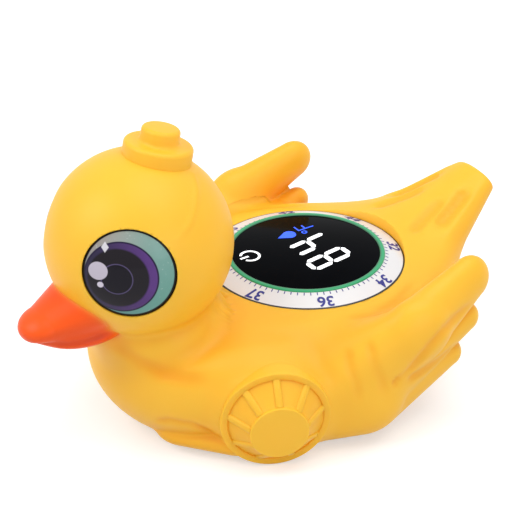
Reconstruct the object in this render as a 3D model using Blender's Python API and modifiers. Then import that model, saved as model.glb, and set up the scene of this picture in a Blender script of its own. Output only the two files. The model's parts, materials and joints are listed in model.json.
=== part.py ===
# Floating bath thermometer shaped like a duck.
# A hollow soft duck is moulded in one piece and sleeved round a sealed round capsule.
# The capsule shows its display through the duck's back and carries the battery door and
# the temperature probe underneath. The duck faces -Y, Z is up and the base lies at z = 0.
import math

import bmesh
import bpy
import numpy as np
from mathutils import Matrix, Vector

MM = 0.001


def mm(*values):
    return np.array(values) * MM


# Clearances
GAP = 0.3 * MM
FILM_GAP = 0.2 * MM
MERGE = 0.00001

# Facets round the turned pieces
SHELL_STEPS = 28
HOUSING_STEPS = 24
CELL_STEPS = 20
PROBE_STEPS = 16
BOSS_STEPS = 12
SCREW_STEPS = 8
EDGE_ANGLE = 35.0

# Soft duck: walls and mesh grain
WALL = 2.5 * MM
GRAIN = 1.15 * MM
CAVITY_GRAIN = 1.9 * MM
SKIN_TRIANGLES = 3100
CAVITY_TRIANGLES = 620
SLIDE_TURNS = 12
SLOPE_REACH = 0.02 * MM
TABLE_SIZE = 0.5

# Head, with the display axis at x = 0 and y = 0
HEAD_CENTRE = mm(0.0, -40.8, 43.5)
HEAD_RADIUS = 19.0 * MM
NECK_CENTRE = mm(0.0, -38.5, 24.0)
NECK_RADII = mm(14.8, 12.6, 11.0)
NECK_BLEND = 1.6 * MM

# Hull: belly, chest and back, trimmed above by a shallow dome and below by the base
BELLY_CENTRE = mm(0.0, -13.0, 13.5)
BELLY_RADII = mm(27.0, 34.5, 15.5)
CHEST_CENTRE = mm(0.0, -31.0, 17.0)
CHEST_RADII = mm(20.0, 16.0, 17.0)
CHEST_BLEND = 12.0 * MM
BACK_CENTRE = mm(0.0, 2.0, 18.5)
BACK_RADII = mm(29.5, 28.0, 10.5)
BACK_BLEND = 8.0 * MM
BASE_CENTRE = mm(0.0, -3.0, 5.0)
BASE_RADIUS = 21.0 * MM
BASE_EDGE = 4.0 * MM
BASE_BLEND = 6.0 * MM
RIM_CENTRE = mm(0.0, 1.0, 18.5)
RIM_REACH = 28.0 * MM
RIM_HALF = 10.0 * MM
RIM_EDGE = 6.0 * MM
RIM_BLEND = 4.0 * MM
DECK_TOP = 27.4 * MM
DECK_CURVE = 205.0 * MM
DECK_BLEND = 3.0 * MM
FLOOR_BLEND = 0.5 * MM
FLOOR_STOCK = 0.4 * MM

# Tail
TAIL_ROOT = mm(0.0, 16.0, 15.0)
TAIL_TIP = mm(0.0, 49.0, 34.2)
TAIL_END = 2.6 * MM
TAIL_ROOT_RADIUS = 19.0 * MM
TAIL_TIP_RADIUS = 4.7 * MM
TAIL_THIN = 0.56
TAIL_EDGE = 1.0 * MM
TAIL_BLEND = 8.0 * MM

# Arm with its sleeve and the three feathers of the wing
SHOULDER = mm(25.0, -18.0, 10.6)
CUFF = mm(30.0, -7.0, 12.5)
SHOULDER_RADIUS = 9.4 * MM
CUFF_RADIUS = 8.6 * MM
CUFF_THIN = 0.62
ELBOW = mm(33.8, 4.0, 24.2)
ELBOW_RADIUS = 7.2 * MM
WING_ROOT = mm(29.5, -9.0, 14.5)
WING_ROOT_RADIUS = 8.6 * MM
WING_TIP = mm(32.0, 18.4, 30.8)
WING_TIP_RADIUS = 4.9 * MM
WING_THIN = 0.62
SECOND_ROOT = mm(31.0, -2.0, 14.0)
SECOND_ROOT_RADIUS = 7.0 * MM
SECOND_TIP = mm(30.8, 19.6, 19.8)
SECOND_TIP_RADIUS = 3.6 * MM
THIRD_ROOT = mm(29.5, -2.0, 9.0)
THIRD_ROOT_RADIUS = 7.2 * MM
THIRD_TIP = mm(30.0, 16.6, 11.2)
THIRD_TIP_RADIUS = 3.2 * MM
FEATHER_THIN = 0.75
FEATHER_BLEND = 0.8 * MM
ELBOW_BLEND = 1.0 * MM
SLEEVE_BLEND = 2.0 * MM
ARM_BLEND = 6.0 * MM
ARM_FACE = (1.0, -0.05, 0.1)

# Foot pad at the lower front
HEEL = mm(18.8, -29.6, 3.8)
TOE = mm(10.5, -37.0, 3.8)
HEEL_RADIUS = 7.2 * MM
TOE_RADIUS = 6.6 * MM
FOOT_THIN = 0.5
FOOT_BLEND = 0.8 * MM

# Two-step topknot
KNOT_PLACE = 15.0
KNOT_TILT = 12.0
KNOT_RADIUS = 7.0 * MM
KNOT_RISE = 2.0 * MM
KNOT_SINK = 3.2 * MM
BUTTON_RADIUS = 3.9 * MM
BUTTON_RISE = 3.2 * MM
KNOT_EDGE = 0.8 * MM

# Eyes
EYE_TURN = 53.0
EYE_LIFT = 6.5
EYE_RADIUS = 9.2 * MM
EYE_DOME = 2.7 * MM
EYE_SEAT = 1.0 * MM
EYE_EDGE = 0.3 * MM
EYE_RINGS = 5
PAN_DEPTH = 10.0 * MM
PRINT_THICKNESS = 0.4 * MM

# Beak: the bill above and the lip below the mouth line
BILL_ROOT = HEAD_CENTRE + HEAD_RADIUS * np.array((0.0, -0.537, -0.463))
BILL_TIP = HEAD_CENTRE + HEAD_RADIUS * np.array((0.0, -1.174, -0.616))
BILL_ROOT_RADIUS = 10.4 * MM
BILL_TIP_RADIUS = 5.2 * MM
BILL_THIN = 0.58
LIP_CENTRE = HEAD_CENTRE + HEAD_RADIUS * np.array((0.0, -0.705, -0.77))
LIP_RADII = mm(7.6, 10.4, 3.2)
LIP_BLEND = 2.2 * MM
BEAK_SEAT_RADIUS = 9.8 * MM
BEAK_GRAIN = 0.9 * MM
BEAK_TRIANGLES = 520
BEAK_SEAT = 1.4 * MM

# Shoulder drums with their ribs
DRUM_CENTRE = mm(26.0, -26.0, 11.5)
DRUM_TURN = 66.0
DRUM_LIFT = -3.0
DRUM_RADIUS = 11.3 * MM
DRUM_RIM = 1.5 * MM
DRUM_EDGE = 0.6 * MM
DRUM_FACE = 3.0 * MM
DRUM_DEPTH = 6.0 * MM
PANEL_DROP = 0.8 * MM
PANEL_RISE = 4.2 * MM
HUB_RADIUS = 6.0 * MM
HUB_RISE = 0.8 * MM
RIB_COUNT = 9
RIB_WIDTH = 1.2 * MM
RIB_RISE = 0.5 * MM
RIB_DEPTH = 2.0 * MM

# Display stack
DISPLAY_TOP = 28.0 * MM
WINDOW_INSET = 1.8 * MM
WINDOW_THICKNESS = 1.2 * MM
RING_WALL = 0.8 * MM
RING_RISE = 0.1 * MM
RING_LEDGE = 1.1 * MM
RING_LEDGE_WIDTH = 1.1 * MM
LABEL_INSET = 0.2 * MM
LABEL_DROP = 1.3 * MM
LABEL_THICKNESS = 0.3 * MM

# Capsule
FLANGE_WIDTH = 3.4 * MM
FLANGE_EDGE = 0.8 * MM
SKIRT_STEP = 2.5 * MM
SKIRT_WALL = 1.2 * MM
SHELF_WIDTH = 1.2 * MM
SHELF_THICKNESS = 1.2 * MM
SPLIT_Z = 19.3 * MM
RIM_HEIGHT = 1.9 * MM
CUP_WALL = 1.6 * MM
TAPER_TOP = 12.0 * MM
TAPER_BOTTOM = 8.5 * MM
BARREL_RADIUS = 15.0 * MM
BARREL_WALL = 2.2 * MM
BOTTOM_Z = 0.8 * MM
FLOOR_THICKNESS = 3.4 * MM
SEAL_WIRE = 0.4 * MM
WIRE_POINTS = 6
BOSS_RADIUS = 1.8 * MM
BOSS_FOOT = 10.5 * MM

# Circuit board and what stands on it
BOARD_THICKNESS = 1.2 * MM
BOARD_SCREW_TURNS = (90.0, 225.0, 315.0)
BOARD_SCREW_INSET = 1.6 * MM
BLOCK_LENGTH = 18.6 * MM
BLOCK_WIDTH = 11.0 * MM
BLOCK_X = -1.2 * MM
BLOCK_Y = 1.8 * MM
CHIP_SIZE = 6.0 * MM
CHIP_THICKNESS = 1.0 * MM
CHIP_X = 4.5 * MM
CHIP_Y = -3.5 * MM
LED_COUNT = 6
LED_SIZE = 0.8 * MM
LED_LENGTH = 1.6 * MM
KEY_X = -4.8 * MM
KEY_Y = -11.0 * MM
KEY_COIL = 1.6 * MM
KEY_WIRE = 0.25 * MM
KEY_TURNS = 3
COIL_POINTS = 8

# Battery bay
BAY_Y = 3.5 * MM
CELL_RADIUS = 5.8 * MM
CELL_THICKNESS = 5.4 * MM
CELL_CAP = 4.6 * MM
CELL_CAP_RISE = 0.4 * MM
HOLDER_WALL = 0.8 * MM
HOLDER_ROOF = 1.0 * MM
POST_BORE = 1.0 * MM
POST_RADIUS = 0.5 * MM
PLATE_THICKNESS = 0.4 * MM
SPRING_HEIGHT = 1.6 * MM
SPRING_WIRE = 0.25 * MM
SPRING_TURNS = 2
SPRING_FOOT = 3.7 * MM
SPRING_TIP = 1.8 * MM

# Battery door
DOOR_RADIUS = 7.6 * MM
DOOR_THICKNESS = 1.4 * MM
DOOR_PLUG = 6.2 * MM
DOOR_PLUG_RISE = 1.2 * MM
DOOR_INSET = 0.1 * MM
EAR_X = 9.3 * MM
EAR_RADIUS = 1.9 * MM
EAR_STEP = 0.1 * MM
DOOR_SEAL_THICKNESS = 0.5 * MM
SEAL_GAP = 0.1 * MM
DOOR_SCREW_LENGTH = 5.0 * MM
DOOR_BOSS_TOP = 7.9 * MM
HOLE_GAP = 0.2 * MM
PILOT_GAP = 0.1 * MM
PILOT_SPARE = 0.4 * MM

# Screws
HEAD_OF_SCREW = 1.4 * MM
HEAD_THICKNESS = 0.8 * MM
SHANK_RADIUS = 0.65 * MM
BOARD_SCREW_LENGTH = 6.0 * MM

# Probe
PROBE_RADIUS = 1.9 * MM
PROBE_FLANGE = 3.2 * MM
PROBE_FLANGE_THICKNESS = 0.7 * MM
PROBE_WALL = 0.6 * MM
PROBE_SEAL_THICKNESS = 0.5 * MM
BEAD_RADIUS = 0.9 * MM
LEAD_RADIUS = 0.2 * MM
LEAD_SPREAD = 0.4 * MM


# Soft forms: each one knows its distance field and the plain block it starts from


def unit(vector):
    vector = np.asarray(vector, float)
    return vector / np.linalg.norm(vector)


def bearing(turn, lift):
    turn = math.radians(turn)
    lift = math.radians(lift)
    flat = math.cos(lift)
    return np.array((math.sin(turn) * flat, -math.cos(turn) * flat, math.sin(lift)))


def square_to(axis, face):
    return unit(face - axis * (np.dot(face, axis) / np.dot(axis, axis)))


def placed(axis, centre, face=(0.0, 1.0, 0.0)):
    w = unit(axis)
    v = square_to(w, np.array(face))
    matrix = Matrix([list(row) for row in np.array((np.cross(v, w), v, w)).T]).to_4x4()
    matrix.translation = Vector(centre)
    return matrix


def blend(first, second, width):
    if width <= 0.0:
        return np.minimum(first, second)
    near = np.maximum(width - np.abs(first - second), 0.0) / width
    return np.minimum(first, second) - near * near * width * 0.25


class Egg:
    def __init__(self, centre, radii):
        self.centre = centre
        self.radii = radii * np.ones(3)

    def distance(self, points):
        reach = (points - self.centre) / self.radii
        depth = np.linalg.norm(reach, axis=1)
        slope = np.linalg.norm(reach / self.radii, axis=1)
        return depth * (depth - 1.0) / np.maximum(slope, 0.001)

    def block(self, bm, side):
        matrix = Matrix.Translation(self.centre * (side, 1.0, 1.0))
        matrix = matrix @ Matrix.Diagonal((*self.radii, 1.0))
        bmesh.ops.create_uvsphere(bm, u_segments=40, v_segments=24, radius=1.0, matrix=matrix)


class Limb:
    # A cone with round ends, pressed flat along its face direction
    def __init__(self, start, end, start_radius, end_radius, face, thin):
        self.centre = start
        self.along = end - start
        self.radii = (start_radius, end_radius)
        self.face = square_to(self.along, np.array(face))
        self.thin = thin

    def distance(self, points):
        offset = points - self.centre
        depth = offset @ self.face
        offset = offset + np.outer(depth * (1.0 / self.thin - 1.0), self.face)
        share = np.clip(offset @ self.along / np.dot(self.along, self.along), 0.0, 1.0)
        away = np.linalg.norm(offset - np.outer(share, self.along), axis=1)
        radius = self.radii[0] + (self.radii[1] - self.radii[0]) * share
        return (away - radius) * math.sqrt(self.thin)

    def block(self, bm, side):
        loose = []
        mirror = np.array((side, 1.0, 1.0))
        for share, radius in enumerate(self.radii):
            centre = (self.centre + self.along * share) * mirror
            matrix = placed(self.face * mirror, centre, self.along * mirror)
            matrix = matrix @ Matrix.Diagonal((radius, radius, radius * self.thin, 1.0))
            made = bmesh.ops.create_uvsphere(
                bm, u_segments=24, v_segments=14, radius=1.0, matrix=matrix)
            loose += made["verts"]
        hull = bmesh.ops.convex_hull(bm, input=loose)
        inner = [item for item in hull["geom_interior"] if isinstance(item, bmesh.types.BMVert)]
        bmesh.ops.delete(bm, geom=inner, context="VERTS")


class Puck:
    # A round slab with a rolled edge
    def __init__(self, centre, axis, radius, half, edge):
        self.centre = centre
        self.axis = unit(axis)
        self.radius = radius
        self.half = half
        self.edge = edge

    def distance(self, points):
        offset = points - self.centre
        height = offset @ self.axis
        away = np.linalg.norm(offset - np.outer(height, self.axis), axis=1)
        out = away - self.radius + self.edge
        up = np.abs(height) - self.half + self.edge
        corner = np.hypot(np.maximum(out, 0.0), np.maximum(up, 0.0))
        return corner + np.minimum(np.maximum(out, up), 0.0) - self.edge

    def block(self, bm, side):
        mirror = np.array((side, 1.0, 1.0))
        bmesh.ops.create_cone(
            bm, cap_ends=True, segments=48, radius1=self.radius, radius2=self.radius,
            depth=2.0 * self.half, matrix=placed(self.axis * mirror, self.centre * mirror))


class Field:
    # Forms joined, trimmed to one another or cut away in turn, alike on both sides
    def __init__(self, *steps):
        self.steps = steps
        self.centre = steps[0][1].centre

    def distance(self, points):
        points = np.abs(points * (1.0, 0.0, 0.0)) + points * (0.0, 1.0, 1.0)
        total = np.full(len(points), 1.0)
        for action, form, width in self.steps:
            value = form.distance(points)
            if action == "join":
                total = blend(total, value, width)
            elif action == "trim":
                total = -blend(-total, -value, width)
            else:
                total = -blend(-total, value, width)
        return total

    def slope(self, points):
        columns = []
        for axis in np.eye(3) * SLOPE_REACH:
            rise = self.distance(points + axis) - self.distance(points - axis)
            columns.append(rise / (2.0 * SLOPE_REACH))
        return np.stack(columns, axis=1)

    def block(self, bm, side):
        for action, form, width in self.steps:
            if action == "join":
                form.block(bm, side)

    def blocks(self, bm):
        for action, form, width in self.steps:
            if action != "join":
                continue
            sides = (1.0, -1.0) if form.centre[0] > GAP else (1.0,)
            for side in sides:
                form.block(bm, side)


UP = (0.0, 0.0, 1.0)
DECK = Egg(np.array((0.0, 0.0, DECK_TOP - DECK_CURVE)), DECK_CURVE)
FLOOR = Puck(np.array((0.0, 0.0, TABLE_SIZE - FLOOR_STOCK)), UP, TABLE_SIZE, TABLE_SIZE, 0.0)
HEAD = Egg(HEAD_CENTRE, HEAD_RADIUS)
NECK = Egg(NECK_CENTRE, NECK_RADII)
BASE = Puck(BASE_CENTRE, UP, BASE_RADIUS, BASE_CENTRE[2] + FLOOR_STOCK, BASE_EDGE)
HULL = (
    ("join", Egg(BELLY_CENTRE, BELLY_RADII), 0.0),
    ("join", Egg(CHEST_CENTRE, CHEST_RADII), CHEST_BLEND),
    ("join", Egg(BACK_CENTRE, BACK_RADII), BACK_BLEND),
    ("join", BASE, BASE_BLEND),
    ("join", Puck(RIM_CENTRE, UP, RIM_REACH, RIM_HALF, RIM_EDGE), RIM_BLEND),
    ("trim", DECK, DECK_BLEND),
)
TAIL_AXIS = unit(TAIL_TIP - TAIL_ROOT)
TAIL_CUT = Puck(TAIL_TIP - TAIL_AXIS * (TAIL_END + TABLE_SIZE), TAIL_AXIS, TABLE_SIZE, TABLE_SIZE, 0.0)
TAIL = Field(
    ("join", Limb(TAIL_ROOT, TAIL_TIP, TAIL_ROOT_RADIUS, TAIL_TIP_RADIUS, UP, TAIL_THIN), 0.0),
    ("trim", TAIL_CUT, TAIL_EDGE),
)
SLEEVE = Limb(SHOULDER, CUFF, SHOULDER_RADIUS, CUFF_RADIUS, ARM_FACE, CUFF_THIN)
UPPER_WING = Limb(WING_ROOT, ELBOW, WING_ROOT_RADIUS, ELBOW_RADIUS, ARM_FACE, WING_THIN)
FIRST_FEATHER = Limb(ELBOW, WING_TIP, ELBOW_RADIUS, WING_TIP_RADIUS, ARM_FACE, WING_THIN)
SECOND_FEATHER = Limb(
    SECOND_ROOT, SECOND_TIP, SECOND_ROOT_RADIUS, SECOND_TIP_RADIUS, ARM_FACE, FEATHER_THIN)
THIRD_FEATHER = Limb(
    THIRD_ROOT, THIRD_TIP, THIRD_ROOT_RADIUS, THIRD_TIP_RADIUS, ARM_FACE, FEATHER_THIN)
ARM = Field(
    ("join", SLEEVE, 0.0),
    ("join", UPPER_WING, SLEEVE_BLEND),
    ("join", FIRST_FEATHER, ELBOW_BLEND),
    ("join", SECOND_FEATHER, FEATHER_BLEND),
    ("join", THIRD_FEATHER, FEATHER_BLEND),
)
FOOT = Limb(HEEL, TOE, HEEL_RADIUS, TOE_RADIUS, UP, FOOT_THIN)
BILL = Limb(BILL_ROOT, BILL_TIP, BILL_ROOT_RADIUS, BILL_TIP_RADIUS, UP, BILL_THIN)
LIP = Egg(LIP_CENTRE, LIP_RADII)
BEAK = Field(("join", BILL, 0.0), ("join", LIP, LIP_BLEND))
BODY = Field(
    *HULL,
    ("join", TAIL, TAIL_BLEND),
    ("join", ARM, ARM_BLEND),
    ("join", NECK, NECK_BLEND),
    ("join", HEAD, NECK_BLEND),
    ("join", FOOT, FOOT_BLEND),
    ("trim", FLOOR, FLOOR_BLEND),
)
EYE_AXIS = bearing(EYE_TURN, EYE_LIFT)
EYE_CHORD = math.sqrt(HEAD_RADIUS ** 2 - EYE_RADIUS ** 2)
EYE_FLOOR = EYE_CHORD - EYE_SEAT
BEAK_AXIS = unit(BILL_ROOT - HEAD_CENTRE)
BEAK_CORE = HEAD_RADIUS - BEAK_SEAT


def pan(axis, radius, floor):
    half = 0.5 * PAN_DEPTH
    return Puck(HEAD_CENTRE + axis * (floor + half), axis, radius + GAP, half, 0.0)


EYE_PAN = pan(EYE_AXIS, EYE_RADIUS, EYE_FLOOR)
BEAK_PAN = pan(BEAK_AXIS, BEAK_SEAT_RADIUS, math.sqrt(BEAK_CORE ** 2 - BEAK_SEAT_RADIUS ** 2))
CAVITY = Field(
    *HULL,
    ("join", NECK, NECK_BLEND),
    ("join", HEAD, NECK_BLEND),
    ("cut", EYE_PAN, 0.0),
    ("cut", BEAK_PAN, 0.0),
    ("trim", FLOOR, 0.0),
)

# Scene, materials and helpers

for old in list(bpy.data.objects):
    bpy.data.objects.remove(old, do_unlink=True)

parts = bpy.data.collections.new("bath_thermometer")
tools = bpy.data.collections.new("cutters")
bpy.context.scene.collection.children.link(parts)
bpy.context.scene.collection.children.link(tools)
root = bpy.data.objects.new("duck_origin", None)
parts.objects.link(root)


def finish(name, colour, roughness, metallic=0.0):
    material = bpy.data.materials.new(name)
    material.use_nodes = True
    shader = material.node_tree.nodes["Principled BSDF"]
    shader.inputs["Base Color"].default_value = (*colour, 1.0)
    shader.inputs["Roughness"].default_value = roughness
    shader.inputs["Metallic"].default_value = metallic
    material.diffuse_color = (*colour, 1.0)
    return material


YELLOW = finish("yellow_vinyl", (0.98, 0.58, 0.09), 0.42)
ORANGE = finish("orange_vinyl", (1.0, 0.18, 0.03), 0.4)
PRINT = finish("eye_print", (0.06, 0.03, 0.08), 0.5)
LENS = finish("clear_lens", (0.75, 0.8, 0.85), 0.05)
FILM = finish("white_film", (0.86, 0.87, 0.9), 0.4)
GREEN = finish("green_light_guide", (0.03, 0.35, 0.16), 0.3)
SMOKED = finish("smoked_window", (0.01, 0.01, 0.012), 0.08)
BLACK = finish("black_plastic", (0.02, 0.02, 0.022), 0.5)
IVORY = finish("ivory_plastic", (0.8, 0.78, 0.72), 0.45)
LAMINATE = finish("green_laminate", (0.02, 0.16, 0.07), 0.5)
EPOXY = finish("black_epoxy", (0.015, 0.015, 0.018), 0.35)
RUBBER = finish("black_rubber", (0.02, 0.02, 0.02), 0.8)
STEEL = finish("stainless_steel", (0.6, 0.6, 0.61), 0.25, 1.0)
NICKEL = finish("nickel", (0.66, 0.63, 0.58), 0.3, 1.0)


def add(name, mesh, material=None, matrix=None):
    obj = bpy.data.objects.new(name, mesh)
    obj.parent = root
    if material:
        parts.objects.link(obj)
        mesh.materials.append(material)
    else:
        tools.objects.link(obj)
        obj.hide_render = True
        obj.display_type = "WIRE"
    if matrix is not None:
        obj.matrix_local = matrix
    return obj


def from_bmesh(name, bm, material=None, matrix=None):
    bmesh.ops.recalc_face_normals(bm, faces=bm.faces)
    mesh = bpy.data.meshes.new(name)
    bm.to_mesh(mesh)
    bm.free()
    return add(name, mesh, material, matrix)


def turned(name, profile, material=None, matrix=None, steps=SHELL_STEPS, closed=False):
    # The profile runs down its outer side, from the top to the bottom
    points = [(radius, 0.0, height) for radius, height in profile]
    edges = [(index, index + 1) for index in range(len(points) - 1)]
    if closed:
        edges.append((len(points) - 1, 0))
    mesh = bpy.data.meshes.new(name)
    mesh.from_pydata(points, edges, [])
    obj = add(name, mesh, material, matrix)
    screw = obj.modifiers.new("Turn", "SCREW")
    screw.axis = "Z"
    screw.steps = steps
    screw.render_steps = steps
    screw.use_merge_vertices = True
    screw.merge_threshold = MERGE
    screw.use_smooth_shade = False
    return obj


def solid(name, radius, top, bottom, material=None, matrix=None, steps=SHELL_STEPS):
    profile = ((0.0, top), (radius, top), (radius, bottom), (0.0, bottom))
    return turned(name, profile, material, matrix, steps)


def hoop(name, outer, inner, top, bottom, material=None, matrix=None, steps=SHELL_STEPS):
    profile = ((inner, top), (outer, top), (outer, bottom), (inner, bottom))
    return turned(name, profile, material, matrix, steps, closed=True)


def box(name, size, centre, material=None):
    bm = bmesh.new()
    bmesh.ops.create_cube(bm, size=1.0, matrix=Matrix.Diagonal((*size, 1.0)))
    return from_bmesh(name, bm, material, Matrix.Translation(centre))


def soften(obj, width, segments=2):
    bevel = obj.modifiers.new("Edges", "BEVEL")
    bevel.width = width
    bevel.segments = segments
    bevel.limit_method = "ANGLE"
    bevel.angle_limit = math.radians(EDGE_ANGLE)
    return obj


def combine(target, tool, operation):
    boolean = target.modifiers.new(tool.name, "BOOLEAN")
    boolean.object = tool
    boolean.operation = operation
    boolean.solver = "EXACT"


def settled(obj):
    # The object as its modifiers leave it, as a plain mesh
    bpy.context.view_layer.update()
    graph = bpy.context.evaluated_depsgraph_get()
    return bpy.data.meshes.new_from_object(obj.evaluated_get(graph))


def neighbour_average(points, edges):
    total = np.zeros_like(points)
    count = np.zeros((len(points), 1))
    for near, far in ((0, 1), (1, 0)):
        np.add.at(total, edges[:, near], points[edges[:, far]])
        np.add.at(count, edges[:, near], 1.0)
    return total / np.maximum(count, 1.0)


def slide_onto(mesh, field, level, reach):
    # Vertices walk down the field's slope to the surface at the level, evening out on the way
    flat = np.empty(len(mesh.vertices) * 3)
    mesh.vertices.foreach_get("co", flat)
    points = flat.reshape(-1, 3)
    pairs = np.empty(len(mesh.edges) * 2, dtype=np.int32)
    mesh.edges.foreach_get("vertices", pairs)
    edges = pairs.reshape(-1, 2)
    for turn in range(SLIDE_TURNS):
        if 0 < turn < SLIDE_TURNS - 2:
            points = 0.5 * (points + neighbour_average(points, edges))
        slope = field.slope(points)
        steep = np.maximum(np.sum(slope * slope, axis=1), 0.1)
        step = np.clip((field.distance(points) - level) / steep, -reach, reach)
        points = points - slope * step[:, None]
    mesh.vertices.foreach_set("co", points.ravel())
    mesh.update()


def soft_solid(name, field, level, grain, triangles, material=None):
    # Plain blocks fused by a fine remesh, slid onto the blended surface, then thinned out
    bm = bmesh.new()
    field.blocks(bm)
    source = from_bmesh(name + "_blocks", bm)
    remesh = source.modifiers.new("Fuse", "REMESH")
    remesh.mode = "VOXEL"
    remesh.voxel_size = grain
    mesh = settled(source)
    bpy.data.objects.remove(source, do_unlink=True)
    mesh.name = name
    slide_onto(mesh, field, level, 2.0 * grain)
    obj = add(name, mesh, material)
    thin = obj.modifiers.new("Thin", "DECIMATE")
    thin.ratio = min(1.0, triangles / (2.0 * len(mesh.polygons)))
    thin.use_collapse_triangulate = True
    return obj


def mirrored(obj):
    mirror = obj.modifiers.new("Other side", "MIRROR")
    mirror.mirror_object = root
    mirror.use_mirror_merge = False
    return obj


def at(x, y, z=0.0, twist=0.0):
    # A few degrees of twist keep the facets of round pieces that meet apart
    return Matrix.Translation((x, y, z)) @ Matrix.Rotation(math.radians(twist), 4, "Z")


def ring_wire(name, radius, wire, height, material, matrix=None):
    # Points round the wire, clockwise from its top
    profile = []
    for index in range(WIRE_POINTS):
        angle = math.pi / 2.0 - 2.0 * math.pi * index / WIRE_POINTS
        profile.append((radius + wire * math.cos(angle), height + wire * math.sin(angle)))
    return turned(name, profile, material, matrix, HOUSING_STEPS, closed=True)


def coil(name, bottom_radius, top_radius, wire, bottom, top, turns, material, spot):
    # One turn lies flat at each end and the rest climbs between them
    curve = bpy.data.curves.new(name, "CURVE")
    curve.dimensions = "3D"
    curve.bevel_depth = wire
    curve.bevel_resolution = 1
    curve.use_fill_caps = True
    count = turns * COIL_POINTS + 1
    spline = curve.splines.new("POLY")
    spline.points.add(count - 1)
    for index, point in enumerate(spline.points):
        share = index / (count - 1)
        radius = bottom_radius + (top_radius - bottom_radius) * share
        angle = 2.0 * math.pi * turns * share
        height = bottom + wire + (top - bottom - 2.0 * wire) * share
        point.co = (radius * math.cos(angle), radius * math.sin(angle), height, 1.0)
    source = add(name + "_path", curve, None, at(*spot))
    mesh = settled(source)
    bpy.data.objects.remove(source, do_unlink=True)
    bm = bmesh.new()
    bm.from_mesh(mesh)
    bmesh.ops.remove_doubles(bm, verts=bm.verts, dist=MERGE)
    return from_bmesh(name, bm, material, at(*spot))


# Heights and radii that follow from the driving dimensions

SKIRT_RADIUS = BARREL_RADIUS + SKIRT_STEP
SKIRT_BORE = SKIRT_RADIUS - SKIRT_WALL
FLANGE_RADIUS = SKIRT_RADIUS + FLANGE_WIDTH
LABEL_RADIUS = FLANGE_RADIUS - LABEL_INSET
WINDOW_RADIUS = SKIRT_RADIUS - WINDOW_INSET
COLLAR = WINDOW_RADIUS + GAP
RING_RADIUS = COLLAR + RING_WALL
BEZEL = RING_RADIUS + GAP
WINDOW_BOTTOM = DISPLAY_TOP - WINDOW_THICKNESS
LEDGE_TOP = WINDOW_BOTTOM - GAP
LEDGE_BOTTOM = LEDGE_TOP - RING_LEDGE
LABEL_TOP = DISPLAY_TOP - LABEL_INSET
LABEL_SLOPE = LABEL_DROP / (LABEL_RADIUS - BEZEL)
BEZEL_TOP = LABEL_TOP - LABEL_THICKNESS - FILM_GAP
FLANGE_TOP = BEZEL_TOP - LABEL_SLOPE * (FLANGE_RADIUS - BEZEL)
FLANGE_BOTTOM = FLANGE_TOP - FLANGE_EDGE
SHELF_TOP = LEDGE_BOTTOM - GAP
RIM_RADIUS = SKIRT_BORE - GAP
RIM_TOP = SPLIT_Z + RIM_HEIGHT
CUP_BORE = RIM_RADIUS - CUP_WALL
BARREL_BORE = BARREL_RADIUS - BARREL_WALL
FLOOR_TOP = BOTTOM_Z + FLOOR_THICKNESS
PROBE_Y = PROBE_FLANGE + SEAL_GAP - BARREL_BORE
SCREW_CIRCLE = CUP_BORE - BOARD_SCREW_INSET
BOARD_SCREW_SPOTS = []
for screw_turn in BOARD_SCREW_TURNS:
    spot_turn = math.radians(screw_turn)
    BOARD_SCREW_SPOTS.append((SCREW_CIRCLE * math.cos(spot_turn), SCREW_CIRCLE * math.sin(spot_turn)))
BOARD_BOTTOM = RIM_TOP + GAP
BOARD_TOP = BOARD_BOTTOM + BOARD_THICKNESS
GROOVE_MIDDLE = SPLIT_Z + 0.5 * RIM_HEIGHT
GROOVE_HALF = SEAL_WIRE + SEAL_GAP
GROOVE_BED = RIM_RADIUS - 2.0 * SEAL_WIRE - SEAL_GAP
DOOR_BOTTOM = BOTTOM_Z + DOOR_INSET
DOOR_TOP = DOOR_BOTTOM + DOOR_THICKNESS
DOOR_CEILING = DOOR_TOP + DOOR_SEAL_THICKNESS + 2.0 * SEAL_GAP
PLUG_TOP = DOOR_TOP + DOOR_PLUG_RISE
CELL_BOTTOM = PLUG_TOP + SPRING_HEIGHT + 2.0 * GAP
CELL_PITCH = CELL_THICKNESS + GAP
PLATE_BOTTOM = CELL_BOTTOM + 2.0 * CELL_PITCH
HOLDER_BORE = CELL_RADIUS + GAP
HOLDER_RADIUS = HOLDER_BORE + HOLDER_WALL
ROOF_BOTTOM = PLATE_BOTTOM + PLATE_THICKNESS + GAP
ROOF_TOP = ROOF_BOTTOM + HOLDER_ROOF
BEAM_TOP = BOARD_BOTTOM - GAP


def topknot():
    place = math.radians(KNOT_PLACE)
    tilt = math.radians(KNOT_TILT)
    foot = HEAD_CENTRE + HEAD_RADIUS * np.array((0.0, math.sin(place), math.cos(place)))
    axis = (0.0, math.sin(tilt), math.cos(tilt))
    button_top = KNOT_RISE + BUTTON_RISE
    profile = (
        (0.0, button_top), (BUTTON_RADIUS, button_top), (BUTTON_RADIUS, KNOT_RISE),
        (KNOT_RADIUS, KNOT_RISE), (KNOT_RADIUS, -KNOT_SINK), (0.0, -KNOT_SINK))
    knot = turned("topknot", profile, None, placed(axis, foot, (1.0, 0.0, 0.0)))
    return soften(knot, KNOT_EDGE)


DRUM_MATRIX = placed(bearing(DRUM_TURN, DRUM_LIFT), DRUM_CENTRE, UP)
HUB_TOP = DRUM_FACE - PANEL_DROP + PANEL_RISE


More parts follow.
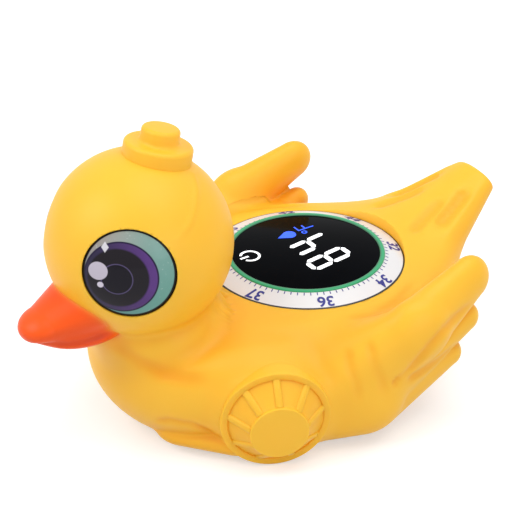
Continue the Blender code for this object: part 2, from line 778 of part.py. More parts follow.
def drums():
    rim_bore = DRUM_RADIUS - DRUM_RIM
    profile = (
        (0.0, HUB_TOP + HUB_RISE), (HUB_RADIUS, HUB_TOP + HUB_RISE), (HUB_RADIUS, HUB_TOP),
        (rim_bore, DRUM_FACE - PANEL_DROP), (rim_bore, DRUM_FACE), (DRUM_RADIUS, DRUM_FACE),
        (DRUM_RADIUS, -DRUM_DEPTH), (0.0, -DRUM_DEPTH))
    return mirrored(soften(turned("drums", profile, None, DRUM_MATRIX, HOUSING_STEPS), DRUM_EDGE, 1))


def drum_ribs():
    # Radial ribs lean with the panel between the rim and the hub
    bm = bmesh.new()
    start = HUB_RADIUS - 0.5 * DRUM_RIM
    end = DRUM_RADIUS - 0.5 * DRUM_RIM
    run = DRUM_RADIUS - DRUM_RIM - HUB_RADIUS
    lean = math.atan2(PANEL_RISE, run)
    length = (end - start) / math.cos(lean)
    middle = DRUM_FACE - PANEL_DROP + 0.5 * PANEL_RISE + RIB_RISE - 0.5 * RIB_DEPTH
    for index in range(RIB_COUNT):
        turn = math.pi / 2.0 + 2.0 * math.pi * index / RIB_COUNT
        matrix = Matrix.Rotation(turn, 4, "Z")
        matrix = matrix @ at(0.5 * (start + end), 0.0, middle)
        matrix = matrix @ Matrix.Rotation(lean, 4, "Y")
        matrix = matrix @ Matrix.Diagonal((length, RIB_WIDTH, RIB_DEPTH, 1.0))
        bmesh.ops.create_cube(bm, size=1.0, matrix=matrix)
    return mirrored(from_bmesh("drum_ribs", bm, None, DRUM_MATRIX))


def capsule_room():
    profile = (
        (0.0, DECK_TOP + WALL), (FLANGE_RADIUS + GAP, DECK_TOP + WALL),
        (FLANGE_RADIUS + GAP, FLANGE_BOTTOM - GAP), (SKIRT_RADIUS + GAP, FLANGE_BOTTOM - GAP),
        (SKIRT_RADIUS + GAP, TAPER_TOP), (BARREL_RADIUS + GAP, TAPER_BOTTOM),
        (BARREL_RADIUS + GAP, -WALL), (0.0, -WALL))
    return turned("capsule_room", profile)


def head_matrix(axis, distance):
    return placed(axis, HEAD_CENTRE + axis * distance, UP)


def eye_sockets():
    top = EYE_SEAT + WALL
    return mirrored(solid("eye_sockets", EYE_RADIUS + GAP, top, 0.0, None,
                          head_matrix(EYE_AXIS, EYE_FLOOR)))


def head_ball(name, radius):
    bm = bmesh.new()
    bmesh.ops.create_uvsphere(bm, u_segments=40, v_segments=24, radius=radius)
    return from_bmesh(name, bm, None, Matrix.Translation(HEAD_CENTRE))


def beak_pocket():
    pocket = soft_solid("beak_pocket", BEAK, GAP, BEAK_GRAIN, BEAK_TRIANGLES)
    combine(pocket, head_ball("pocket_floor", BEAK_CORE - GAP), "DIFFERENCE")
    return pocket


def flat_base():
    # Takes the stock off below the table plane, so that the duck stands on one flat face
    depth = 10.0 * FLOOR_STOCK
    return box("flat_base", (TABLE_SIZE, TABLE_SIZE, depth), (0.0, 0.0, -0.5 * depth))


def body_shell():
    body = soft_solid("body_shell", BODY, 0.0, GRAIN, SKIN_TRIANGLES, YELLOW)
    for extra in (topknot(), drums(), drum_ribs()):
        combine(body, extra, "UNION")
    cavity = soft_solid("cavity", CAVITY, -WALL, CAVITY_GRAIN, CAVITY_TRIANGLES)
    for room in (flat_base(), cavity, capsule_room(), eye_sockets(), beak_pocket()):
        combine(body, room, "DIFFERENCE")


def beak():
    insert = soft_solid("beak", BEAK, 0.0, BEAK_GRAIN, BEAK_TRIANGLES, ORANGE)
    combine(insert, head_ball("beak_back", BEAK_CORE), "DIFFERENCE")


def eyes():
    print_base = EYE_FLOOR + FILM_GAP
    dome_base = print_base + PRINT_THICKNESS + FILM_GAP
    rise = EYE_DOME - EYE_EDGE
    curve = (EYE_RADIUS ** 2 + rise ** 2) / (2.0 * rise)
    profile = []
    for index in range(EYE_RINGS + 1):
        radius = EYE_RADIUS * index / EYE_RINGS
        profile.append((radius, EYE_DOME - curve + math.sqrt(curve ** 2 - radius ** 2)))
    profile += [(EYE_RADIUS, 0.0), (0.0, 0.0)]
    for side, word in ((1.0, "left"), (-1.0, "right")):
        axis = EYE_AXIS * (side, 1.0, 1.0)
        base = HEAD_CENTRE + axis * print_base
        solid("eye_print_" + word, EYE_RADIUS, PRINT_THICKNESS, 0.0, PRINT, placed(axis, base, UP))
        base = HEAD_CENTRE + axis * dome_base
        turned("eye_dome_" + word, profile, LENS, placed(axis, base, UP))


def display():
    outer = LABEL_TOP - LABEL_DROP
    profile = (
        (BEZEL, LABEL_TOP), (LABEL_RADIUS, outer), (LABEL_RADIUS, outer - LABEL_THICKNESS),
        (BEZEL, LABEL_TOP - LABEL_THICKNESS))
    turned("label_ring", profile, FILM, closed=True)
    ring_top = DISPLAY_TOP + RING_RISE
    ledge_bore = COLLAR - RING_LEDGE_WIDTH
    profile = (
        (COLLAR, ring_top), (RING_RADIUS, ring_top), (RING_RADIUS, LEDGE_BOTTOM),
        (ledge_bore, LEDGE_BOTTOM), (ledge_bore, LEDGE_TOP), (COLLAR, LEDGE_TOP))
    turned("indicator_ring", profile, GREEN, closed=True)
    solid("display_window", WINDOW_RADIUS, DISPLAY_TOP, WINDOW_BOTTOM, SMOKED)
    bottom = BOARD_TOP + GAP
    top = WINDOW_BOTTOM - GAP
    centre = (BLOCK_X, BLOCK_Y, 0.5 * (bottom + top))
    box("led_display", (BLOCK_LENGTH, BLOCK_WIDTH, top - bottom), centre, BLACK)


def housing_top():
    shelf_bore = BEZEL - SHELF_WIDTH
    shelf_bottom = SHELF_TOP - SHELF_THICKNESS
    profile = (
        (BEZEL, BEZEL_TOP), (FLANGE_RADIUS, FLANGE_TOP), (FLANGE_RADIUS, FLANGE_BOTTOM),
        (SKIRT_RADIUS, FLANGE_BOTTOM), (SKIRT_RADIUS, SPLIT_Z + GAP), (SKIRT_BORE, SPLIT_Z + GAP),
        (SKIRT_BORE, shelf_bottom), (shelf_bore, shelf_bottom), (shelf_bore, SHELF_TOP),
        (BEZEL, SHELF_TOP))
    turned("housing_top", profile, IVORY, None, HOUSING_STEPS, closed=True)


def door_outline(name, grow, top, bottom):
    # The round door, the bar across it and an ear at each end of the bar
    ear = EAR_RADIUS + grow
    disc = solid(name + "_disc", DOOR_RADIUS + grow, top, bottom, None, at(0.0, BAY_Y, 0.0, 2.0))
    ears = mirrored(solid(name + "_ears", ear, top - EAR_STEP, bottom + EAR_STEP, None,
                          at(EAR_X, BAY_Y, 0.0, 3.0), BOSS_STEPS))
    web = top - bottom - 4.0 * EAR_STEP
    middle = (0.0, BAY_Y, 0.5 * (top + bottom))
    bar = box(name + "_bar", (2.0 * EAR_X, 1.8 * ear, web), middle)
    return disc, bar, ears


def housing_base():
    profile = (
        (0.0, FLOOR_TOP), (BARREL_BORE, FLOOR_TOP), (BARREL_BORE, TAPER_BOTTOM),
        (CUP_BORE, TAPER_TOP), (CUP_BORE, RIM_TOP), (RIM_RADIUS, RIM_TOP),
        (RIM_RADIUS, GROOVE_MIDDLE + GROOVE_HALF), (GROOVE_BED, GROOVE_MIDDLE + GROOVE_HALF),
        (GROOVE_BED, GROOVE_MIDDLE - GROOVE_HALF), (RIM_RADIUS, GROOVE_MIDDLE - GROOVE_HALF),
        (RIM_RADIUS, SPLIT_Z), (SKIRT_RADIUS, SPLIT_Z), (SKIRT_RADIUS, TAPER_TOP),
        (BARREL_RADIUS, TAPER_BOTTOM), (BARREL_RADIUS, BOTTOM_Z), (0.0, BOTTOM_Z))
    base = turned("housing_base", profile, IVORY, None, HOUSING_STEPS)
    pilot = SHANK_RADIUS + PILOT_GAP
    for index, spot in enumerate(BOARD_SCREW_SPOTS):
        boss = solid(f"board_boss_{index}", BOSS_RADIUS, RIM_TOP - SEAL_GAP, BOSS_FOOT, None,
                     at(*spot, 0.0, 4.0), BOSS_STEPS)
        combine(base, boss, "UNION")
    boss = solid("door_boss", BOSS_RADIUS, DOOR_BOSS_TOP, DOOR_CEILING + GAP, None,
                 at(EAR_X, BAY_Y, 0.0, 5.0), BOSS_STEPS)
    combine(base, mirrored(boss), "UNION")
    for tool in door_outline("door_recess", GAP, DOOR_CEILING, BOTTOM_Z - WALL):
        combine(base, tool, "DIFFERENCE")
    opening = solid("door_opening", DOOR_PLUG + GAP, FLOOR_TOP + GAP, BOTTOM_Z, None,
                    at(0.0, BAY_Y, 0.0, 4.0))
    combine(base, opening, "DIFFERENCE")
    hole = solid("probe_hole", PROBE_RADIUS + GAP, FLOOR_TOP + GAP, BOTTOM_Z - GAP, None,
                 at(0.0, PROBE_Y, 0.0, 3.0), PROBE_STEPS)
    combine(base, hole, "DIFFERENCE")
    pilot_foot = BOARD_TOP - BOARD_SCREW_LENGTH - PILOT_SPARE
    for index, spot in enumerate(BOARD_SCREW_SPOTS):
        tool = solid(f"board_pilot_{index}", pilot, RIM_TOP + GAP, pilot_foot, None,
                     at(*spot, 0.0, 7.0), SCREW_STEPS)
        combine(base, tool, "DIFFERENCE")
    top = DOOR_BOTTOM + HEAD_THICKNESS + DOOR_SCREW_LENGTH + PILOT_SPARE
    tool = solid("door_pilot", pilot, top, DOOR_BOTTOM, None,
                 at(EAR_X, BAY_Y, 0.0, 8.0), SCREW_STEPS)
    combine(base, mirrored(tool), "DIFFERENCE")
    seal_radius = GROOVE_BED + SEAL_WIRE + 0.5 * SEAL_GAP
    ring_wire("housing_seal", seal_radius, SEAL_WIRE, GROOVE_MIDDLE, RUBBER)


def board():
    plate = solid("circuit_board", RIM_RADIUS, BOARD_TOP, BOARD_BOTTOM, LAMINATE)
    for index, spot in enumerate(BOARD_SCREW_SPOTS):
        hole = solid(f"board_hole_{index}", SHANK_RADIUS + HOLE_GAP, BOARD_TOP + GAP,
                     BOARD_BOTTOM - GAP, None, at(*spot, 0.0, 4.0), SCREW_STEPS)
        combine(plate, hole, "DIFFERENCE")
    chip_middle = BOARD_BOTTOM - GAP - 0.5 * CHIP_THICKNESS
    chip_size = (CHIP_SIZE, CHIP_SIZE, CHIP_THICKNESS)
    box("controller_chip", chip_size, (CHIP_X, CHIP_Y, chip_middle), EPOXY)
    radius = COLLAR - 0.5 * RING_LEDGE_WIDTH - HOLE_GAP
    for index in range(LED_COUNT):
        size = (LED_SIZE, LED_LENGTH, LED_SIZE)
        led = box(f"indicator_led_{index + 1}", size, (0.0, 0.0, 0.0), FILM)
        turn = Matrix.Rotation(2.0 * math.pi * index / LED_COUNT, 4, "Z")
        led.matrix_local = turn @ at(radius, 0.0, BOARD_TOP + GAP + 0.5 * LED_SIZE)
    coil("touch_spring", KEY_COIL, KEY_COIL, KEY_WIRE, BOARD_TOP + GAP, WINDOW_BOTTOM - GAP,
         KEY_TURNS, NICKEL, (KEY_X, KEY_Y))
    head_bottom = BOARD_TOP + SEAL_GAP
    for index, spot in enumerate(BOARD_SCREW_SPOTS):
        screw(f"board_screw_{index + 1}", head_bottom, BOARD_SCREW_LENGTH, at(*spot))


def screw(name, head_bottom, length, matrix, pointing=-1.0):
    head_end = head_bottom - pointing * HEAD_THICKNESS
    tip = head_bottom + pointing * length
    profile = [(0.0, head_end), (HEAD_OF_SCREW, head_end), (HEAD_OF_SCREW, head_bottom),
               (SHANK_RADIUS, head_bottom), (SHANK_RADIUS, tip), (0.0, tip)]
    if pointing > 0.0:
        profile.reverse()
    turned(name, profile, STEEL, matrix, SCREW_STEPS)


def battery_bay():
    middle = at(0.0, BAY_Y)
    profile = (
        (POST_BORE, ROOF_TOP), (HOLDER_RADIUS, ROOF_TOP), (HOLDER_RADIUS, FLOOR_TOP + GAP),
        (HOLDER_BORE, FLOOR_TOP + GAP), (HOLDER_BORE, ROOF_BOTTOM), (POST_BORE, ROOF_BOTTOM))
    turned("battery_holder", profile, BLACK, middle, CELL_STEPS, closed=True)
    for index in range(2):
        bottom = CELL_BOTTOM + index * CELL_PITCH
        top = bottom + CELL_THICKNESS
        shoulder = bottom + CELL_CAP_RISE
        profile = ((0.0, top), (CELL_RADIUS, top), (CELL_RADIUS, shoulder), (CELL_CAP, shoulder),
                   (CELL_CAP, bottom), (0.0, bottom))
        turned(f"button_cell_{index + 1}", profile, STEEL, middle, CELL_STEPS)
    plate_top = PLATE_BOTTOM + PLATE_THICKNESS
    profile = ((0.0, BEAM_TOP), (POST_RADIUS, BEAM_TOP), (POST_RADIUS, plate_top), (CELL_CAP, plate_top),
               (CELL_CAP, PLATE_BOTTOM), (0.0, PLATE_BOTTOM))
    turned("contact_positive", profile, NICKEL, middle, PROBE_STEPS)
    coil("contact_negative", SPRING_FOOT, SPRING_TIP, SPRING_WIRE, PLUG_TOP + GAP,
         CELL_BOTTOM - GAP, SPRING_TURNS, NICKEL, (0.0, BAY_Y))


def door():
    profile = ((0.0, PLUG_TOP), (DOOR_PLUG, PLUG_TOP), (DOOR_PLUG, DOOR_TOP), (DOOR_RADIUS, DOOR_TOP),
               (DOOR_RADIUS, DOOR_BOTTOM), (0.0, DOOR_BOTTOM))
    lid = turned("battery_door", profile, IVORY, at(0.0, BAY_Y))
    for tool in door_outline("door_form", 0.0, DOOR_TOP, DOOR_BOTTOM)[1:]:
        combine(lid, tool, "UNION")
    hole = solid("door_hole", SHANK_RADIUS + HOLE_GAP, DOOR_TOP + GAP, DOOR_BOTTOM - GAP, None,
                 at(EAR_X, BAY_Y, 0.0, 6.0), SCREW_STEPS)
    combine(lid, mirrored(hole), "DIFFERENCE")
    sink_top = DOOR_BOTTOM + HEAD_THICKNESS + SEAL_GAP
    sink = solid("door_sink", HEAD_OF_SCREW + HOLE_GAP, sink_top, DOOR_BOTTOM - GAP, None,
                 at(EAR_X, BAY_Y, 0.0, 5.0), BOSS_STEPS)
    combine(lid, mirrored(sink), "DIFFERENCE")
    seal_top = DOOR_CEILING - SEAL_GAP
    hoop("door_seal", DOOR_RADIUS - HOLE_GAP, DOOR_PLUG + GAP, seal_top, DOOR_TOP + SEAL_GAP, RUBBER,
         at(0.0, BAY_Y))
    for side, word in ((1.0, "left"), (-1.0, "right")):
        screw("door_screw_" + word, DOOR_BOTTOM + HEAD_THICKNESS, DOOR_SCREW_LENGTH,
              at(side * EAR_X, BAY_Y), 1.0)


def probe():
    spot = at(0.0, PROBE_Y)
    bore = PROBE_RADIUS - PROBE_WALL
    seal_bottom = FLOOR_TOP + SEAL_GAP
    seal_top = seal_bottom + PROBE_SEAL_THICKNESS
    flange = seal_top + SEAL_GAP
    top = flange + PROBE_FLANGE_THICKNESS
    tip = BOTTOM_Z + SEAL_GAP
    profile = (
        (0.0, tip + PROBE_WALL), (bore, tip + PROBE_WALL), (bore, top), (PROBE_FLANGE, top),
        (PROBE_FLANGE, flange), (PROBE_RADIUS, flange), (PROBE_RADIUS, tip + PROBE_WALL),
        (bore, tip), (0.0, tip))
    turned("sensor_probe", profile, STEEL, spot, PROBE_STEPS)
    hoop("probe_seal", PROBE_FLANGE, PROBE_RADIUS + GAP, seal_top, seal_bottom, RUBBER, spot,
         PROBE_STEPS)
    bm = bmesh.new()
    height = tip + PROBE_WALL + GAP + BEAD_RADIUS
    bmesh.ops.create_uvsphere(bm, u_segments=12, v_segments=8, radius=BEAD_RADIUS)
    bead = from_bmesh("thermistor", bm, EPOXY, at(0.0, PROBE_Y, height))
    leads = solid("thermistor_leads", LEAD_RADIUS, BEAM_TOP, height, None,
                  at(LEAD_SPREAD, PROBE_Y), SCREW_STEPS)
    combine(bead, mirrored(leads), "UNION")


def rest_on_origin():
    # The box round the whole duck is centred on the origin, fore and aft
    ends = []
    for obj in parts.objects:
        if obj.type == "MESH":
            mesh = settled(obj)
            ends += [(obj.matrix_world @ vertex.co).y for vertex in mesh.vertices]
            bpy.data.meshes.remove(mesh)
    root.location.y = -0.5 * (min(ends) + max(ends))
    bpy.context.view_layer.update()


body_shell()
beak()
eyes()
display()
housing_top()
housing_base()
board()
battery_bay()
door()
probe()
rest_on_origin()
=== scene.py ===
import json
import math

import bmesh
import bpy
import numpy as np
from mathutils import Matrix, Vector


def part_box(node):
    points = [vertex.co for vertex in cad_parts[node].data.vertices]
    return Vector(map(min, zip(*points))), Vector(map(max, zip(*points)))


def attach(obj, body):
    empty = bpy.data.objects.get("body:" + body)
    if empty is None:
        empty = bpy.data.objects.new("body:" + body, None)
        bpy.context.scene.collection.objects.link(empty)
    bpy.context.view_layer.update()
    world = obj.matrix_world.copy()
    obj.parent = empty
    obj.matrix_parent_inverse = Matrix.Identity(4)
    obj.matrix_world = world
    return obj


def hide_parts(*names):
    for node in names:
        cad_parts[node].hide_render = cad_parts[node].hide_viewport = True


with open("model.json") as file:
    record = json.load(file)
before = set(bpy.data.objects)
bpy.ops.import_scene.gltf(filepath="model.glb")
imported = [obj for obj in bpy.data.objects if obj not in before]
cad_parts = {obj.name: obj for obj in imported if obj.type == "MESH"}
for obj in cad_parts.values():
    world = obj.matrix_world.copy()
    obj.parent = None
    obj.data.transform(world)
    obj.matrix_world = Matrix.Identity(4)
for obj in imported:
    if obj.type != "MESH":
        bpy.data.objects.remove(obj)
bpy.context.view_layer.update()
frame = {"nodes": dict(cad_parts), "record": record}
mm = 0.001
tiny = 0.0000005  # points nearer than this are one
windowLow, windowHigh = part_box("display_window")
displayY = 0.5 * (windowLow.y + windowHigh.y)  # the display's axis; forms below are in mm round it
up = np.array((0.0, 0.0, 1.0))


# vectors

def vec(*values):
    return np.array(values, float)


def unit(vector):
    return np.asarray(vector, float) / np.linalg.norm(vector)


def bearing(turn, lift):
    turn, lift = math.radians(turn), math.radians(lift)
    return vec(math.sin(turn) * math.cos(lift), -math.cos(turn) * math.cos(lift), math.sin(lift))


def squareTo(axis, face):
    return unit(face - axis * (np.dot(face, axis) / np.dot(axis, axis)))


def oneSide(points):
    # both sides of the duck are alike, so its left side stands for both
    return np.abs(points * (1.0, 0.0, 0.0)) + points * (0.0, 1.0, 1.0)


def turned(axis, face):
    # local Z along the axis, local Y towards the face
    w = unit(axis)
    v = squareTo(w, np.array(face, float))
    return Matrix([list(row) for row in np.array((np.cross(v, w), v, w)).T]).to_4x4()


def placed(axis, centre, face):
    # the same, at a place in metres of the world
    matrix = turned(axis, face)
    matrix.translation = Vector(centre) * mm + Vector((0.0, displayY, 0.0))
    return matrix


flatPlace = Matrix.Translation((0.0, displayY, 0.0))
inMillimetres = Matrix.Diagonal((1.0 / mm, 1.0 / mm, 1.0 / mm, 1.0))


# nodes

class Wire:
    # one socket, so that node maths reads as maths
    def __init__(self, desk, socket):
        self.desk = desk
        self.socket = socket

    def maths(self, operation, *others):
        return self.desk.node("ShaderNodeMath", {"operation": operation}, self, *others)

    def __add__(self, other):
        return self.maths("ADD", other)

    __radd__ = __add__

    def __sub__(self, other):
        return self.maths("SUBTRACT", other)

    def __rsub__(self, other):
        return self.desk.node("ShaderNodeMath", {"operation": "SUBTRACT"}, other, self)

    def __mul__(self, other):
        return self.maths("MULTIPLY", other)

    __rmul__ = __mul__

    def __truediv__(self, other):
        return self.maths("DIVIDE", other)

    def below(self, edge, soft):
        # 1 under the edge, 0 above it
        return self.desk.step(self, edge + soft, edge - soft)

    def above(self, edge, soft):
        return self.desk.step(self, edge - soft, edge + soft)


class Desk:
    def __init__(self, tree):
        self.tree = tree

    def node(self, kind, settings=None, *values, out=0, **named):
        made = self.tree.nodes.new(kind)
        for key, value in (settings or {}).items():
            setattr(made, key, value)
        for index, value in enumerate(values):
            self.feed(made.inputs[index], value)
        for key, value in named.items():
            self.feed(made.inputs[key.replace("_", " ")], value)
        return Wire(self, made.outputs[out])

    def feed(self, socket, value):
        if isinstance(value, Wire):
            self.tree.links.new(value.socket, socket)
        elif value is not None:
            if socket.type == "RGBA" and len(value) == 3:
                value = (*value, 1.0)
            socket.default_value = value

    def step(self, value, low, high):
        # smooth from 0 at low to 1 at high
        flip = low > high
        if flip:
            low, high = high, low
        start, end = (1.0, 0.0) if flip else (0.0, 1.0)
        return self.node("ShaderNodeMapRange", {"interpolation_type": "SMOOTHSTEP"},
                         value, low, high, start, end)

    def mix(self, share, first, second):
        made = self.tree.nodes.new("ShaderNodeMix")
        made.data_type = "RGBA"
        self.feed(made.inputs[0], share)
        self.feed(made.inputs[6], first)
        self.feed(made.inputs[7], second)
        return Wire(self, made.outputs[2])

    def noise(self, place, scale, detail=2.0):
        return self.node("ShaderNodeTexNoise", None, Vector=place, Scale=scale, Detail=detail)

    def objectPlace(self):
        return self.node("ShaderNodeTexCoord", out=3)

    def split(self, place):
        made = self.tree.nodes.new("ShaderNodeSeparateXYZ")
        self.feed(made.inputs[0], place)
        return [Wire(self, socket) for socket in made.outputs]

    def local(self, place, matrix):
        # the object's coordinates seen in a piece's own frame, in metres
        return self.node("ShaderNodeMapping", {"vector_type": "TEXTURE"}, place,
                         matrix.to_translation(), matrix.to_euler())

    def fromAxis(self, x, y):
        return (x * x + y * y).maths("SQRT")

    def bump(self, height, strength, distance):
        return self.node("ShaderNodeBump", None,
                         Height=height, Strength=strength, Distance=distance)


def finish(name, colour, roughness, **fixed):
    # a Principled material; returns it with its desk and shader so that detail can be wired in
    material = bpy.data.materials.new(name)
    material.use_nodes = True
    shader = material.node_tree.nodes["Principled BSDF"]
    shader.inputs["Base Color"].default_value = (*colour, 1.0)
    shader.inputs["Roughness"].default_value = roughness
    for key, value in fixed.items():
        shader.inputs[key.replace("_", " ")].default_value = value
    material.diffuse_color = (*colour, 1.0)
    return material, Desk(material.node_tree), shader.inputs


# forms

def blend(first, second, width):
    if width <= 0.0:
        return np.minimum(first, second)
    near = np.maximum(width - np.abs(first - second), 0.0) / width
    return np.minimum(first, second) - near * near * width * 0.25


class Egg:
    def __init__(self, centre, radii):
        self.centre = vec(*centre)
        self.radii = np.array(radii, float) * np.ones(3)

    def distance(self, points):
        reach = (points - self.centre) / self.radii
        depth = np.linalg.norm(reach, axis=1)
        slope = np.linalg.norm(reach / self.radii, axis=1)
        return depth * (depth - 1.0) / np.maximum(slope, 0.000001)

    def block(self, bm, side):
        matrix = Matrix.Translation(self.centre * (side, 1.0, 1.0))
        matrix = matrix @ Matrix.Diagonal((*self.radii, 1.0))
        bmesh.ops.create_uvsphere(bm, u_segments=64, v_segments=40, radius=1.0, matrix=matrix)


class Limb:
    # a cone with round ends, pressed flat along its face direction
    def __init__(self, start, end, startRadius, endRadius, face, thin):
        self.centre = vec(*start)
        self.along = vec(*end) - self.centre
        self.radii = (startRadius, endRadius)
        self.face = squareTo(self.along, np.array(face))
        self.thin = thin

    def distance(self, points):
        offset = points - self.centre
        depth = offset @ self.face
        offset = offset + np.outer(depth * (1.0 / self.thin - 1.0), self.face)
        share = np.clip(offset @ self.along / np.dot(self.along, self.along), 0.0, 1.0)
        away = np.linalg.norm(offset - np.outer(share, self.along), axis=1)
        radius = self.radii[0] + (self.radii[1] - self.radii[0]) * share
        return (away - radius) * math.sqrt(self.thin)

    def block(self, bm, side):
        loose = []
        mirror = vec(side, 1.0, 1.0)
        for share, radius in enumerate(self.radii):
            matrix = turned(self.face * mirror, self.along * mirror)
            matrix.translation = Vector((self.centre + self.along * share) * mirror)
            matrix = matrix @ Matrix.Diagonal((radius, radius, radius * self.thin, 1.0))
            made = bmesh.ops.create_uvsphere(
                bm, u_segments=36, v_segments=20, radius=1.0, matrix=matrix)
            loose += made["verts"]
        hull = bmesh.ops.convex_hull(bm, input=loose)
        inner = [item for item in hull["geom_interior"] if isinstance(item, bmesh.types.BMVert)]
        bmesh.ops.delete(bm, geom=inner, context="VERTS")


class Slab:
    # a round slab with a rolled edge
    def __init__(self, centre, axis, radius, half, edge):
        self.centre = vec(*centre)
        self.axis = unit(axis)
        self.radius = radius
        self.half = half
        self.edge = edge

    def distance(self, points):
        offset = points - self.centre
        height = offset @ self.axis
        away = np.linalg.norm(offset - np.outer(height, self.axis), axis=1)
        out = away - self.radius + self.edge
        rise = np.abs(height) - self.half + self.edge
        corner = np.hypot(np.maximum(out, 0.0), np.maximum(rise, 0.0))
        return corner + np.minimum(np.maximum(out, rise), 0.0) - self.edge

    def block(self, bm, side):
        mirror = vec(side, 1.0, 1.0)
        turn = Vector(self.axis * mirror).to_track_quat("Z", "Y").to_matrix().to_4x4()
        bmesh.ops.create_cone(
            bm, cap_ends=True, segments=96, radius1=self.radius, radius2=self.radius,
            depth=2.0 * self.half, matrix=Matrix.Translation(self.centre * mirror) @ turn)


class Crease:
    # a line pressed into the surface, or raised from it where its depth is negative;
    # shadeWeight is how much painted shade darkens the colour along it
    def __init__(self, depth, width, shadeWeight, *points):
        self.depth = depth
        self.width = width
        self.shadeWeight = shadeWeight
        self.points = [vec(*point) for point in points]

    def shape(self, points, spread):
        near = np.full(len(points), 1e6)
        fade = np.ones(len(points))
        ends = list(zip(self.points[:-1], self.points[1:]))
        for index, (start, end) in enumerate(ends):
            along = end - start
            share = np.clip((points - start) @ along / np.dot(along, along), 0.0, 1.0)
            away = np.linalg.norm(points - start - np.outer(share, along), axis=1)
            # the line runs out softly at both ends
            reach = (index + share) / len(ends)
            closer = away < near
            runOut = np.clip(6.0 * np.minimum(reach, 1.0 - reach) + 0.15, 0.0, 1.0)
            fade = np.where(closer, runOut, fade)
            near = np.minimum(near, away)
        return fade * np.exp(-(near / (self.width * spread)) ** 2)


class Field:
    # forms joined, or trimmed to one another, in turn, alike on both sides
    def __init__(self, *steps, creases=()):
        self.steps = steps
        self.joins = [form for action, form, width in steps if action == "join"]
        self.creases = creases
        self.centre = steps[0][1].centre

    def distance(self, points):
        points = oneSide(points)
        total = np.full(len(points), 1000.0)
        for action, form, width in self.steps:
            value = form.distance(points)
            if action == "join":
                total = blend(total, value, width)
            else:
                total = -blend(-total, -value, width)
        for crease in self.creases:
            total = total + crease.depth * crease.shape(points, 1.0)
        return total

    def creaseShade(self, points):
        # painted shade: how much each crease darkens the colour at the points
        points = oneSide(points)
        return sum(crease.shadeWeight * crease.shape(points, 1.35) for crease in self.creases)

    def slope(self, points):
        columns = []
        for axis in np.eye(3) * 0.02:
            columns.append((self.distance(points + axis) - self.distance(points - axis)) / 0.04)
        return np.stack(columns, axis=1)

    def block(self, bm, side):
        for form in self.joins:
            form.block(bm, side)

    def blocks(self, bm):
        for form in self.joins:
            for side in ((1.0, -1.0) if form.centre[0] > 0.3 else (1.0,)):
                form.block(bm, side)


# meshes

def link(name, data):
    piece = bpy.data.objects.new(name, data)
    bpy.context.scene.collection.objects.link(piece)
    return piece


def settled(obj):
    bpy.context.view_layer.update()
    graph = bpy.context.evaluated_depsgraph_get()
    return bpy.data.meshes.new_from_object(obj.evaluated_get(graph))


def discard(*objects):
    for obj in objects:
        bpy.data.objects.remove(obj, do_unlink=True)


def frozen(name, source, *tools):
    # the finished shape as a plain mesh, and what it was made with goes
    mesh = settled(source)
    discard(source, *tools)
    return link(name, mesh)


def fromBmesh(name, bm):
    mesh = bpy.data.meshes.new(name)
    bm.to_mesh(mesh)
    bm.free()
    return link(name, mesh)


def cleaned(name, bm, matrix=None, smooth=True):
    # doubles merged and faces turned outwards
    bmesh.ops.remove_doubles(bm, verts=bm.verts, dist=tiny)
    if matrix is not None:
        bmesh.ops.transform(bm, matrix=matrix, verts=bm.verts)
    bmesh.ops.recalc_face_normals(bm, faces=bm.faces)
    piece = fromBmesh(name, bm)
    if smooth:
        piece.data.shade_smooth()
    return piece


def lathe(name, profile, matrix=flatPlace, steps=128, closed=False,
          rounding=0.0, segments=3, keepSharp=40.0):
    # the profile is in mm, (radius, height) from the top down its outer side
    bm = bmesh.new()
    verts = [bm.verts.new((radius * mm, 0.0, height * mm)) for radius, height in profile]
    edges = [bm.edges.new(pair) for pair in zip(verts[:-1], verts[1:])]
    if closed:
        edges.append(bm.edges.new((verts[-1], verts[0])))
    bmesh.ops.spin(bm, geom=verts + edges, cent=(0.0, 0.0, 0.0), axis=(0.0, 0.0, 1.0),
                   angle=2.0 * math.pi, steps=steps, use_merge=True)
    piece = cleaned(name, bm)
    if rounding:
        bevel = piece.modifiers.new("Edges", "BEVEL")
        bevel.width = rounding * mm
        bevel.segments = segments
        bevel.limit_method = "ANGLE"
        bevel.angle_limit = math.radians(25.0)
        piece = frozen(name, piece)
    piece.data.transform(matrix)
    piece.data.set_sharp_from_angle(angle=math.radians(keepSharp))
    return piece


def sunk(target, *tools):
    # cut the tools out of the target, and keep the result as a plain mesh
    for tool in tools:
        cut = target.modifiers.new(tool.name, "BOOLEAN")
        cut.object = tool
        cut.operation = "DIFFERENCE"
        cut.solver = "EXACT"
    return frozen(target.name, target, *tools)


def joined(name, *objects):
    bm = bmesh.new()
    for obj in objects:
        bm.from_mesh(obj.data)
    discard(*objects)
    return fromBmesh(name, bm)


def mirroredCopy(obj):
    # the same piece on the other side, with its faces turned outwards again
    bm = bmesh.new()
    bm.from_mesh(obj.data)
    bmesh.ops.scale(bm, vec=(-1.0, 1.0, 1.0), verts=bm.verts)
    bmesh.ops.reverse_faces(bm, faces=bm.faces)
    return fromBmesh(obj.name + "Other", bm)


def meshPoints(mesh):
    flat = np.empty(len(mesh.vertices) * 3)
    mesh.vertices.foreach_get("co", flat)
    return flat.reshape(-1, 3)


def neighbourAverage(points, edges):
    total = np.zeros_like(points)
    count = np.zeros((len(points), 1))
    for near, far in ((0, 1), (1, 0)):
        np.add.at(total, edges[:, near], points[edges[:, far]])
        np.add.at(count, edges[:, near], 1.0)
    return total / np.maximum(count, 1.0)


